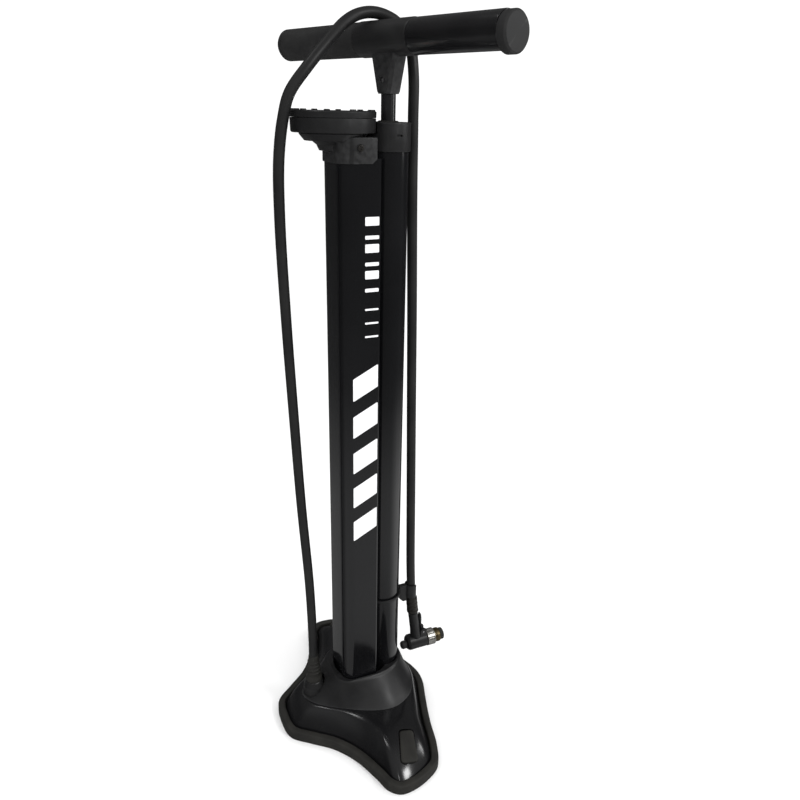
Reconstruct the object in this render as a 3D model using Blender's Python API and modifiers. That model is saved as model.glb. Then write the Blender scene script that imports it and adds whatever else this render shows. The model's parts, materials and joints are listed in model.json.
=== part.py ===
"""Floor bike pump with an air tank, a top gauge and a stowed hose.

Run with: blender --background --python part.py
The numbers below are millimetres, and the helpers turn them into metres. +Z is up. The origin is on
the floor under the axis of the pump tube. -Y is the side of the tank and the gauge, and +Y is the side
where the hose hangs in its clip.
"""
import math

import bmesh
import bpy
import numpy as np
from mathutils import Matrix, Vector

MM = 0.001
GAP = 0.3                     # clearance between touching pieces

# ---- driving dimensions -------------------------------------------------------------------------
TUBE_R = 17.4                 # pump tube, outside
TUBE_BORE_R = 15.2
BARREL_BOTTOM = 12.0
TUBE_TOP = 580.0

TANK_HALF_W = 24.5
TANK_FRONT = -50.4
TANK_BACK = -15.0
TANK_CORNER = 11.5
TANK_REAR_CORNER = 4.0
TANK_WALL = 1.8
TANK_REAR_WALL = 3.8
TANK_TOP = 571.0

RIM_HEIGHT = 10.0
RIM_WIDTH = 7.6
COLLAR_FOOT_Z = 29.0          # where the collar meets the base pan
COLLAR_TOP_Z = 55.0
PAN_EDGE_Z = 6.0
SHELL_WALL = 2.6

HEAD_Y = -47.5                # axis of the gauge
HEAD_R = 34.5
HEAD_BOTTOM = 589.5
HEAD_TOP = 606.0

TUBE_CAP_R = 19.0
TUBE_CAP_BOTTOM = 575.5
TUBE_CAP_TOP = 598.0

ROD_R = 6.0
ROD_BORE_R = 4.8
ROD_BOTTOM = 24.0
ROD_TOP = 641.0
PISTON_BOTTOM = 20.0
PISTON_TOP = 42.0
STEM_BOTTOM = 619.0
HANDLE_Z = 659.4
HANDLE_YAW = math.radians(20.0)
HANDLE_LEFT = 135.5           # reach of the handle on each side of the rod
HANDLE_RIGHT = 126.5
GRIP_R = 13.1
HUB_R = 13.5

HOSE_R = 4.5
HOSE_X = 2.0                  # the hose hangs a little to the right of the tube
CHUCK_Z = 60.4                # axis of the chuck head

BLACK = (0.012, 0.012, 0.013)
SOFT_BLACK = (0.03, 0.03, 0.032)
RUBBER = (0.022, 0.021, 0.02)
STEEL = (0.55, 0.55, 0.56)
BRASS = (0.62, 0.42, 0.16)
WHITE = (0.85, 0.85, 0.83)


# ---- helpers ------------------------------------------------------------------------------------
def clear_scene():
    for old in list(bpy.data.objects):
        bpy.data.objects.remove(old, do_unlink=True)


def new_collection(name):
    group = bpy.data.collections.new(name)
    bpy.context.scene.collection.children.link(group)
    return group


clear_scene()
PARTS = new_collection("floor_bike_pump")
CUTTERS = new_collection("cutters")
MATERIALS = {}


def material(name, colour, roughness, metallic=0.0):
    """A Principled material, made once for each name."""
    if name not in MATERIALS:
        made = bpy.data.materials.new(name)
        made.use_nodes = True
        shader = made.node_tree.nodes["Principled BSDF"]
        shader.inputs["Base Color"].default_value = (*colour, 1.0)
        shader.inputs["Roughness"].default_value = roughness
        shader.inputs["Metallic"].default_value = metallic
        MATERIALS[name] = made
    return MATERIALS[name]


def gloss_black():
    return material("gloss_black", BLACK, 0.12)


def satin_black():
    return material("satin_black", SOFT_BLACK, 0.4)


def matte_black():
    return material("matte_black", SOFT_BLACK, 0.6)


def rubber():
    return material("rubber", RUBBER, 0.75)


def steel():
    return material("steel", STEEL, 0.3, 1.0)


def aluminium():
    return material("aluminium", (0.7, 0.7, 0.71), 0.35, 1.0)


def brass():
    return material("brass", BRASS, 0.3, 1.0)


def white_plastic():
    return material("white_plastic", WHITE, 0.5)


def clear_plastic():
    return material("clear_plastic", (0.9, 0.95, 0.95), 0.05)


def place(mesh, name, paint, at=(0.0, 0.0, 0.0), turn=(0.0, 0.0, 0.0)):
    """Put a mesh in the parts collection at a place in millimetres."""
    piece = bpy.data.objects.new(name, mesh)
    PARTS.objects.link(piece)
    piece.location = Vector(at) * MM
    piece.rotation_euler = turn
    mesh.materials.clear()
    mesh.materials.append(paint)
    return piece


def turned(name, profile, paint, at=(0, 0, 0), turn=(0, 0, 0), steps=32, ring=False):
    """Turn (radius, height) points round Z. The points run down the outside, top to bottom."""
    mesh = bpy.data.meshes.new(name)
    points = [(radius * MM, 0.0, height * MM) for radius, height in profile]
    edges = [(i, i + 1) for i in range(len(points) - 1)]
    if ring:
        edges.append((len(points) - 1, 0))
    mesh.from_pydata(points, edges, [])
    piece = place(mesh, name, paint, at, turn)
    screw = piece.modifiers.new("turn", "SCREW")
    screw.axis = "Z"
    screw.angle = math.tau
    screw.steps = steps
    screw.render_steps = steps
    screw.use_merge_vertices = True
    screw.merge_threshold = 1e-5
    screw.use_smooth_shade = True
    return piece


def ring_profile(inner, outer, bottom, top):
    """The section of a plain ring, for turned(..., ring=True)."""
    return [(inner, top), (outer, top), (outer, bottom), (inner, bottom)]


def disc_profile(radius, bottom, top):
    return [(0, top), (radius, top), (radius, bottom), (0, bottom)]


def arc(cx, cy, radius, start, end, count):
    """Points on an arc in the plane, angles in degrees."""
    angles = np.radians(np.linspace(start, end, count))
    return [(cx + radius * math.cos(a), cy + radius * math.sin(a)) for a in angles]


def rounded_rect(half_w, front, back, front_corner, back_corner, count=6, back_count=3):
    """A closed outline, wide along X, with its own corner radius at the front and at the back."""
    outline = arc(half_w - front_corner, front + front_corner, front_corner, -90, 0, count)
    outline += arc(half_w - back_corner, back - back_corner, back_corner, 0, 90, back_count)
    outline += arc(-half_w + back_corner, back - back_corner, back_corner, 90, 180, back_count)
    outline += arc(-half_w + front_corner, front + front_corner, front_corner, 180, 270, count)
    return outline


def slab_mesh(name, outlines, bottom, top):
    """A flat outline (with holes, if there are more outlines) as a closed mesh."""
    curve = bpy.data.curves.new(name, "CURVE")
    curve.dimensions = "2D"
    curve.fill_mode = "BOTH"
    curve.extrude = (top - bottom) / 2 * MM
    for outline in outlines:
        spline = curve.splines.new("POLY")
        spline.points.add(len(outline) - 1)
        for point, (x, y) in zip(spline.points, outline):
            point.co = (x * MM, y * MM, 0.0, 1.0)
        spline.use_cyclic_u = True
    return mesh_from_curve(curve, name, (bottom + top) / 2)


def mesh_from_curve(curve, name, lift=0.0):
    """Evaluate a curve, weld its caps and move it up by lift."""
    guide = bpy.data.objects.new(name + "_curve", curve)
    bpy.context.scene.collection.objects.link(guide)
    bpy.context.view_layer.update()
    graph = bpy.context.evaluated_depsgraph_get()
    mesh = bpy.data.meshes.new_from_object(guide.evaluated_get(graph), depsgraph=graph)
    bpy.data.objects.remove(guide, do_unlink=True)
    work = bmesh.new()
    work.from_mesh(mesh)
    bmesh.ops.remove_doubles(work, verts=work.verts, dist=1e-6)
    bmesh.ops.translate(work, verts=work.verts, vec=(0.0, 0.0, lift * MM))
    bmesh.ops.recalc_face_normals(work, faces=work.faces)
    work.to_mesh(mesh)
    work.free()
    mesh.name = name
    return mesh


def slab(name, outlines, bottom, top, paint, at=(0, 0, 0), turn=(0, 0, 0)):
    return place(slab_mesh(name, outlines, bottom, top), name, paint, at, turn)


def as_cutter(piece):
    """Move a piece to the cutters, out of sight and out of the build."""
    PARTS.objects.unlink(piece)
    CUTTERS.objects.link(piece)
    piece.hide_render = True
    piece.display_type = "WIRE"
    return piece


def boolean(piece, tool, operation="DIFFERENCE"):
    step = piece.modifiers.new(operation.lower(), "BOOLEAN")
    step.operation = operation
    step.solver = "EXACT"
    step.object = tool
    return piece


def cut_round(piece, radius, bottom, top, at=(0, 0, 0), turn=(0, 0, 0), steps=24):
    """Cut a round hole whose axis is Z before it is turned."""
    name = "cut_%s_%d" % (piece.name, len(piece.modifiers))
    tool = turned(name, disc_profile(radius, bottom, top), steel(), at, turn, steps)
    return boolean(piece, as_cutter(tool))


def box_mesh(name, low, high):
    mesh = bpy.data.meshes.new(name)
    work = bmesh.new()
    bmesh.ops.create_cube(work, size=1.0)
    size = [(b - a) * MM for a, b in zip(low, high)]
    centre = [(a + b) / 2 * MM for a, b in zip(low, high)]
    bmesh.ops.scale(work, verts=work.verts, vec=size)
    bmesh.ops.translate(work, verts=work.verts, vec=centre)
    work.to_mesh(mesh)
    work.free()
    return mesh


def block(name, low, high, paint, at=(0, 0, 0), turn=(0, 0, 0)):
    return place(box_mesh(name, low, high), name, paint, at, turn)


def cut_box(piece, low, high, at=(0, 0, 0), turn=(0, 0, 0)):
    name = "cut_%s_%d" % (piece.name, len(piece.modifiers))
    return boolean(piece, as_cutter(block(name, low, high, steel(), at, turn)))


def add_shape(piece, other):
    """Join another shape to a piece."""
    return boolean(piece, as_cutter(other), "UNION")


def loft(name, rings, paint, closed_section, at=(0, 0, 0), turn=(0, 0, 0)):
    """Skin a list of rings, each with the same number of (x, y, z) points.

    A closed section joins the last ring to the first, and an open one gets flat ends.
    """
    work = bmesh.new()
    rows = [[work.verts.new(Vector(p) * MM) for p in ring] for ring in rings]
    count = len(rings[0])
    pairs = list(zip(rows, rows[1:]))
    if closed_section:
        pairs.append((rows[-1], rows[0]))
    else:
        work.faces.new(rows[0])
        work.faces.new(rows[-1])
    for low, high in pairs:
        for i in range(count):
            j = (i + 1) % count
            work.faces.new((low[i], low[j], high[j], high[i]))
    bmesh.ops.recalc_face_normals(work, faces=work.faces)
    mesh = bpy.data.meshes.new(name)
    work.to_mesh(mesh)
    work.free()
    return place(mesh, name, paint, at, turn)


def spline_tube(name, points, radius, paint, sides=2, at=(0, 0, 0)):
    """A round tube with closed ends along the points."""
    curve = bpy.data.curves.new(name, "CURVE")
    curve.dimensions = "3D"
    curve.bevel_depth = radius * MM
    curve.bevel_resolution = sides
    curve.use_fill_caps = True
    spline = curve.splines.new("POLY")
    spline.points.add(len(points) - 1)
    for point, place_at in zip(spline.points, points):
        point.co = (*(Vector(place_at) * MM), 1.0)
    tube = bpy.data.objects.new(name, curve)
    PARTS.objects.link(tube)
    tube.location = Vector(at) * MM
    curve.materials.append(paint)
    return tube


def smooth_path(points, count, closed=False):
    """Even points along a centripetal Catmull-Rom curve through the given points."""
    given = [np.array(p, float) for p in points]
    if closed:
        given = [given[-1]] + given + given[:2]
    else:
        given = [2 * given[0] - given[1]] + given + [2 * given[-1] - given[-2]]
    dense = []
    for p0, p1, p2, p3 in zip(given, given[1:], given[2:], given[3:]):
        t0 = 0.0
        t1 = t0 + math.sqrt(np.linalg.norm(p1 - p0))
        t2 = t1 + math.sqrt(np.linalg.norm(p2 - p1))
        t3 = t2 + math.sqrt(np.linalg.norm(p3 - p2))
        for t in np.linspace(t1, t2, 24, endpoint=False):
            a1 = (t1 - t) / (t1 - t0) * p0 + (t - t0) / (t1 - t0) * p1
            a2 = (t2 - t) / (t2 - t1) * p1 + (t - t1) / (t2 - t1) * p2
            a3 = (t3 - t) / (t3 - t2) * p2 + (t - t2) / (t3 - t2) * p3
            b1 = (t2 - t) / (t2 - t0) * a1 + (t - t0) / (t2 - t0) * a2
            b2 = (t3 - t) / (t3 - t1) * a2 + (t - t1) / (t3 - t1) * a3
            dense.append((t2 - t) / (t2 - t1) * b1 + (t - t1) / (t2 - t1) * b2)
    dense.append(given[1] if closed else given[-2])
    dense = np.array(dense)
    run = np.concatenate([[0.0], np.cumsum(np.linalg.norm(np.diff(dense, axis=0), axis=1))])
    stops = np.linspace(0.0, run[-1], count + 1 if closed else count)
    if closed:
        stops = stops[:-1]
    return np.stack([np.interp(stops, run, dense[:, k]) for k in range(dense.shape[1])], axis=1)


# ---- base ---------------------------------------------------------------------------------------
BASE_COUNT = 44
BASE_CENTRE = np.array([0.0, -20.0])
# half outlines, from the front round the +X side to the back
FLOOR_HALF = [(0, -114), (23, -110.5), (39, -93.4), (55.5, -74), (78, -58.5), (105, -47.8), (121, -42.5),
              (129.8, -33), (130.5, -21), (126, -4), (116, 13), (96, 22), (65, 29.5), (33, 39.5),
              (13, 46.3), (0, 48)]
COLLAR_FOOT_HALF = [(0, -90), (16, -82), (36, -55), (51, -24), (53, -4), (42, 16), (22, 27), (0, 30.5)]
COLLAR_TOP_HALF = [(0, -58.5), (17, -58), (26.5, -50), (28, -38), (28, -12), (24, 2), (15, 14), (0, 20.3)]


def mirrored(half):
    """A closed outline from a half outline whose ends lie on X = 0."""
    return half + [(-x, y) for x, y in half[-2:0:-1]]


def outline_points(half, count=BASE_COUNT):
    return smooth_path(mirrored(half), count, closed=True)


def inset(points, distance):
    """Move each point of a closed outline inwards, square to the outline."""
    along = np.roll(points, -1, axis=0) - np.roll(points, 1, axis=0)
    along /= np.linalg.norm(along, axis=1)[:, None]
    inward = np.stack([-along[:, 1], along[:, 0]], axis=1)
    return points + inward * distance


def matched(half, angles):
    """The points of an outline that lie at the given angles round the base centre."""
    dense = outline_points(half, 720) - BASE_CENTRE
    own = np.arctan2(dense[:, 1], dense[:, 0])
    order = np.argsort(own)
    reach = np.interp(angles, own[order], np.linalg.norm(dense, axis=1)[order], period=math.tau)
    return BASE_CENTRE + np.stack([np.cos(angles), np.sin(angles)], axis=1) * reach[:, None]


def at_height(points, height):
    heights = np.broadcast_to(np.asarray(height, float), (len(points),))
    return [(float(x), float(y), float(z)) for (x, y), z in zip(points, heights)]


FLOOR = outline_points(FLOOR_HALF)
PAN_EDGE = inset(FLOOR, RIM_WIDTH + GAP)
ANGLES = np.arctan2(*(PAN_EDGE - BASE_CENTRE).T[::-1])
COLLAR_FOOT = matched(COLLAR_FOOT_HALF, ANGLES)
COLLAR_TOP = matched(COLLAR_TOP_HALF, ANGLES)
PAN_REACH = np.linalg.norm(COLLAR_FOOT - PAN_EDGE, axis=1)
PAN_SWELL = 1.2 + 1.6 * np.minimum(PAN_REACH / 50.0, 1.0)  # how full the pan is: its lobes are the fullest
PAN_STEPS = (0.0, 0.06, 0.18, 0.36, 0.64, 1.0)


def pan_ring(share, drop=0.0):
    """A ring of the pan's skin, from its edge (0) to the collar's foot (1)."""
    points = PAN_EDGE + (COLLAR_FOOT - PAN_EDGE) * share
    rise = 1.0 - (1.0 - share) ** PAN_SWELL
    return at_height(points, PAN_EDGE_Z + (COLLAR_FOOT_Z - PAN_EDGE_Z) * rise - drop)


def base_rim():
    """The rubber edge all round the foot."""
    section = ((0.0, 0.0), (0.0, 7.4), (2.2, RIM_HEIGHT), (5.8, RIM_HEIGHT), (RIM_WIDTH, 7.4),
               (RIM_WIDTH, 0.0))
    rings = [at_height(inset(FLOOR, depth), height) for depth, height in section]
    return loft("base_rim", rings, rubber(), True)


def base_pan():
    """The sculpted foot: a shell with pads on its two side lobes and screw bosses under it."""
    rings = [pan_ring(share) for share in PAN_STEPS]
    inner_foot = BASE_CENTRE + (COLLAR_FOOT - BASE_CENTRE) * 0.90
    rings.append(at_height(inner_foot, COLLAR_FOOT_Z))
    rings.append(at_height(inner_foot, COLLAR_FOOT_Z - 4.5))
    rings += [pan_ring(share, drop=SHELL_WALL + 0.6) for share in (0.64, 0.22)]
    rings.append(at_height(inset(PAN_EDGE, 2.4), 2.9))
    rings.append(at_height(PAN_EDGE, 2.9))
    pan = loft("base_pan", rings, gloss_black(), True)
    for x, y, top in BOSSES:
        add_shape(pan, turned("boss", disc_profile(4.6, 2.9, top), steel(), (x, y, 0), steps=12))
        cut_round(pan, 1.7, 0.0, 11.0, (x, y, 0), steps=8)
    for side in (-1, 1):
        cut_box(pan, *PAD_CUT, *pad_place(side))
    return cut_round(pan, GLAND_R + GAP, 20.0, 60.0, (0, GLAND_Y, 0), steps=16)


BOSSES = ((104, -30, 16.0), (-104, -30, 16.0))
PAD_HALF_LENGTH = 16.5
PAD_HALF_WIDTH = 8.6
PAD_FLOOR = 18.8
PAD_TILT = math.radians(14.0)
PAD_YAW = math.radians(-17.0)
PAD_CUT = ((-PAD_HALF_LENGTH - GAP, -PAD_HALF_WIDTH - GAP, 0.0),
           (PAD_HALF_LENGTH + GAP, PAD_HALF_WIDTH + GAP, 12.0))


def pad_place(side):
    """Where a side pad sits, and how it is turned: it follows the lobe down and outwards."""
    return (side * 97.0, -11.5, PAD_FLOOR), (0.0, side * PAD_TILT, side * PAD_YAW)


def foot_pads():
    """The matte pads let into the side lobes."""
    outline = rounded_rect(PAD_HALF_LENGTH, -PAD_HALF_WIDTH, PAD_HALF_WIDTH, 3.0, 3.0, 4)
    for side, word in ((1, "right"), (-1, "left")):
        at, turn = pad_place(side)
        slab("foot_pad_" + word, [outline], GAP, 3.4, matte_black(), at, turn)


def base_collar():
    """The satin cone from the pan up to the barrel, open in the middle."""
    rings = []
    for share in (0.0, 0.3, 0.65, 0.92):
        points = COLLAR_FOOT + (COLLAR_TOP - COLLAR_FOOT) * share
        height = COLLAR_FOOT_Z + GAP + (COLLAR_TOP_Z - COLLAR_FOOT_Z - GAP) * (share ** 1.15)
        rings.append(at_height(points, height))
    rings.append(at_height(inset(COLLAR_TOP, 0.4), COLLAR_TOP_Z))
    rings.append(at_height(inset(COLLAR_TOP, 2.0), COLLAR_TOP_Z))
    inner_foot = BASE_CENTRE + (COLLAR_FOOT - BASE_CENTRE) * 0.92
    rings.append(at_height(inner_foot, COLLAR_FOOT_Z + GAP))
    collar = loft("base_collar", rings, satin_black(), True)
    return cut_round(collar, GLAND_R + GAP, 20.0, 70.0, (0, GLAND_Y, 0), steps=16)


def bottom_plate():
    """The steel sole inside the rim, with its screw holes."""
    plate = slab("bottom_plate", [[tuple(p) for p in PAN_EDGE]], 0.0, 2.6, steel())
    for x, y in [boss[:2] for boss in BOSSES] + list(MANIFOLD_SCREWS):
        cut_round(plate, 3.4, -1.0, 1.8, (x, y, 0), steps=12)
        cut_round(plate, 1.7, -1.5, 4.0, (x, y, 0), steps=8)
    return plate


MANIFOLD_SCREWS = ((17.0, -45.0), (-17.0, -45.0))


def plate_screws():
    """Countersunk screws that hold the sole to the pan and to the manifold."""
    places = [boss[:2] for boss in BOSSES] + list(MANIFOLD_SCREWS)
    for number, (x, y) in enumerate(places, 1):
        profile = [(0, 9.5), (1.4, 9.5), (1.4, 1.5), (3.1, 1.5), (3.1, 0.3), (0, 0.3)]
        turned("plate_screw_%d" % number, profile, steel(), (x, y, 0), steps=8)


# ---- air path in the base -----------------------------------------------------------------------
GLAND_Y = -77.0
GLAND_R = 11.0
VALVE_Y = -27.0               # check valve axis
PIPE_Y = -42.0                # outlet pipe axis
CHANNEL_Z = 7.5
BOOT_TOP = 78.0


def tank_outline(grow=0.0):
    """The outside of the tank, made larger by grow all round."""
    return rounded_rect(TANK_HALF_W + grow, TANK_FRONT - grow, TANK_BACK + grow,
                        TANK_CORNER + grow, TANK_REAR_CORNER + grow)


def tank_hollow(grow=0.0):
    """The inside of the tank, made larger by grow all round."""
    side = TANK_HALF_W - TANK_WALL + grow
    front = TANK_FRONT + TANK_WALL - grow
    back = TANK_BACK - TANK_REAR_WALL + grow
    return rounded_rect(side, front, back, TANK_CORNER - TANK_WALL + grow, 3.0 + grow)


def barrel_outline(grow):
    """The tank and the pump tube in one outline, made larger by grow all round."""
    back = TANK_BACK + grow
    radius = TUBE_R + grow
    meet = math.degrees(math.asin(back / radius))
    tank = tank_outline(grow)
    half = len(tank) // 2
    return tank[:half] + arc(0, 0, radius, meet, 180 - meet, 19) + tank[half:]


def manifold_block():
    """The block that the tank and the pump tube stand in, with its two air channels."""
    body = slab("manifold_block", [barrel_outline(2.6)], 2.9, 42.0, aluminium())
    boolean(body, as_cutter(slab("cut_barrel", [barrel_outline(GAP)], BARREL_BOTTOM - GAP, 50.0, steel())))
    flat = math.pi / 2
    cut_round(body, 2.4, -3.0, -VALVE_Y + 3.0, (0, 0, CHANNEL_Z), (flat, 0, 0), 12)
    cut_round(body, 2.6, CHANNEL_Z - 0.9, 14.0, (0, 0, 0), steps=12)
    cut_round(body, 2.6, CHANNEL_Z - 0.9, 14.0, (0, VALVE_Y, 0), steps=12)
    cut_round(body, 2.4, -PIPE_Y - 3.0, -TANK_FRONT + 5.0, (0, 0, CHANNEL_Z), (flat, 0, 0), 12)
    cut_round(body, 3.4, CHANNEL_Z - 0.9, 14.0, (0, PIPE_Y, 0), steps=12)
    for x, y in MANIFOLD_SCREWS:
        cut_round(body, 1.7, 0.0, 10.2, (x, y, 0), steps=8)
    return body


def tank_plug(name, bottom, top, valve):
    """An end plug of the tank, with the outlet pipe through it and room for a seal."""
    plug = slab(name, [tank_hollow(-GAP)], bottom, top, matte_black())
    cut_round(plug, 3.4, bottom - 1, top + 1, (0, PIPE_Y, 0), steps=16)
    if valve:
        cut_round(plug, 5.3, bottom - 1, VALVE_CAGE_Z, (0, VALVE_Y, 0), steps=24)
        cut_round(plug, 2.0, bottom - 1, top + 1, (0, VALVE_Y, 0), steps=16)
    return plug


def check_valve():
    """A ball on a brass seat, held down by a light spring under the plug's shoulder."""
    here = (0, VALVE_Y, 0)
    seat = [(4.9, 19.0), (4.9, 14.7), (2.0, 14.7), (2.0, 17.0), (3.3, 19.0)]
    turned("check_valve_seat", seat, brass(), here, steps=14, ring=True)
    ball = bpy.data.meshes.new("check_valve_ball")
    work = bmesh.new()
    bmesh.ops.create_uvsphere(work, u_segments=10, v_segments=7, radius=BALL_R * MM)
    work.to_mesh(ball)
    work.free()
    place(ball, "check_valve_ball", steel(), (0, VALVE_Y, BALL_Z))
    turns = 4.0
    steps = 24
    low = BALL_Z + BALL_R + 0.7
    high = VALVE_CAGE_Z - 0.7
    coil = []
    for i in range(steps + 1):
        share = i / steps
        angle = math.tau * turns * share
        coil.append((2.3 * math.cos(angle), VALVE_Y + 2.3 * math.sin(angle), low + (high - low) * share))
    spline_tube("check_valve_spring", coil, 0.35, steel(), 1)


BALL_R = 2.8
BALL_Z = 20.6
VALVE_CAGE_Z = 32.6


def outlet():
    """The pipe down the inside of the tank, the elbow under the collar and the gland for the hose."""
    turned("outlet_pipe", ring_profile(2.0, 3.0, BARREL_BOTTOM, 566.0), aluminium(), (0, PIPE_Y, 0),
           steps=16, ring=True)
    start = TANK_FRONT - 2.8
    bend = [(0, GLAND_Y + 7.0 - 7.0 * math.sin(a), CHANNEL_Z + 7.0 - 7.0 * math.cos(a))
            for a in np.radians((15, 35, 55, 75))]
    path = [(0, start, CHANNEL_Z), (0, GLAND_Y + 7.0, CHANNEL_Z)] + bend
    path += [(0, GLAND_Y, CHANNEL_Z + 7.0), (0, GLAND_Y, 33.0)]
    spline_tube("outlet_elbow", path, 3.0, brass())
    gland = [(5.6, 47.0), (7.6, 47.0), (8.6, 46.0), (GLAND_R, 41.0), (GLAND_R, 26.0), (3.4, 26.0),
             (3.4, 34.0), (2.6, 34.0), (2.6, 40.0), (5.6, 40.0)]
    turned("hose_gland", gland, satin_black(), (0, GLAND_Y, 0), steps=16, ring=True)
    barb = [(1.2, 74.0), (2.0, 74.0), (2.6, 71.0), (2.1, 71.0), (2.7, 66.0), (2.1, 66.0), (2.7, 61.0),
            (2.1, 61.0), (2.1, 46.0), (5.2, 46.0), (5.2, 40.4), (1.2, 40.4)]
    turned("hose_barb", barb, brass(), (0, GLAND_Y, 0), steps=10, ring=True)
    boot = [(3.0, BOOT_TOP), (5.0, BOOT_TOP), (5.5, 74.0), (6.6, 62.0), (8.2, 52.0), (8.6, 48.0),
            (7.9, 47.3), (3.0, 47.3)]
    turned("hose_boot", boot, rubber(), (0, GLAND_Y, 0), steps=16, ring=True)


# ---- barrel -------------------------------------------------------------------------------------
def pump_tube():
    turned("pump_tube", ring_profile(TUBE_BORE_R, TUBE_R, BARREL_BOTTOM, TUBE_TOP), gloss_black(),
           steps=32, ring=True)


def tank_shell():
    """The flat-sided tank, hollowed for air and scooped where the pump tube lies against it."""
    shell = slab("tank_shell", [tank_outline(), tank_hollow()], BARREL_BOTTOM, TANK_TOP, gloss_black())
    return cut_round(shell, TUBE_R + GAP, 0.0, 600.0, steps=32)


def tube_floor():
    """The rubber washer under the pump tube."""
    turned("tube_seal", ring_profile(3.0, TUBE_BORE_R - GAP, 12.4, 15.0), rubber(), steps=24, ring=True)


# ---- top cap and gauge --------------------------------------------------------------------------
CAP_LINE = -19.5              # the back face of the tank cap, where the tube cap begins
CAP_HALF_W = 25.8
SPOOL_R = 4.4
HEAD_LUGS = 10


def top_cap():
    """The moulding over the tank, with the bowl that carries the gauge head."""
    outline = rounded_rect(CAP_HALF_W, -51.8, CAP_LINE, 12.6, 0.6)
    cap = slab("top_cap", [outline], 567.0, 587.0, satin_black())
    rim = HEAD_BOTTOM - GAP
    bowl = [(0, rim), (27.4, rim), (27.4, rim - 0.8), (23.2, rim - 5.8), (17.0, rim - 6.2),
            (13.5, rim - 9.0), (11.5, 576.0), (0, 576.0)]
    add_shape(cap, turned("bowl", bowl, steel(), (0, HEAD_Y, 0), steps=28))
    boolean(cap, as_cutter(slab("cut_cap", [tank_outline(GAP)], 560.0, TANK_TOP + GAP, steel())))
    cut_round(cap, SPOOL_R + GAP, 574.0, 600.0, (0, HEAD_Y, 0), steps=14)
    cut_round(cap, 3.4, 560.0, 577.0, (0, PIPE_Y + 1.0, 0), steps=8)
    cut_box(cap, (-40, 0, -30), (40, 30, 0), (0, -24.8, 566.2), (math.radians(42), 0, 0))
    cut_round(cap, 1.7, 20.0, 40.0, (0, -34.0, 579.0), (0, math.pi / 2, 0), 8)
    return cap


def tube_cap():
    """The screwed cap of the pump tube, flat where it meets the tank cap and hollowed for the head."""
    profile = [(10.4, TUBE_CAP_TOP), (18.0, TUBE_CAP_TOP), (TUBE_CAP_R, 596.8),
               (TUBE_CAP_R, TUBE_CAP_BOTTOM), (TUBE_R + GAP, TUBE_CAP_BOTTOM),
               (TUBE_R + GAP, TUBE_TOP + GAP), (10.4, TUBE_TOP + GAP)]
    cap = turned("tube_cap", profile, satin_black(), steps=28, ring=True)
    cut_round(cap, HEAD_R + 0.5, HEAD_BOTTOM - GAP, 610.0, (0, HEAD_Y, 0), steps=32)
    return cut_box(cap, (17.4, -2.6, 587.2), (22.0, 2.6, 588.8), turn=(0, 0, math.radians(8)))


def rod_guide():
    """The bush that guides the rod, and the wiper above it."""
    bush = [(ROD_R + GAP, 593.5), (10.1, 593.5), (10.1, TUBE_TOP - 0.4), (TUBE_BORE_R - GAP, TUBE_TOP - 0.4),
            (TUBE_BORE_R - GAP, 568.0), (ROD_R + GAP, 568.0)]
    turned("rod_bush", bush, white_plastic(), steps=20, ring=True)
    wiper = [(ROD_R + GAP, 599.0), (7.6, 599.0), (10.1, 597.4), (10.1, 593.8), (ROD_R + GAP, 593.8)]
    turned("rod_wiper", wiper, rubber(), steps=20, ring=True)


def cap_screw():
    """The side screw that holds the top cap to the tank."""
    face = CAP_HALF_W + GAP
    profile = [(0, face + 1.3), (2.2, face + 1.3), (2.8, face + 0.7), (2.8, face), (1.4, face),
               (1.4, face - 1.9), (0, face - 1.9)]
    turned("cap_screw", profile, steel(), (0, -34.0, 579.0), (0, math.pi / 2, 0), steps=12)


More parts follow.
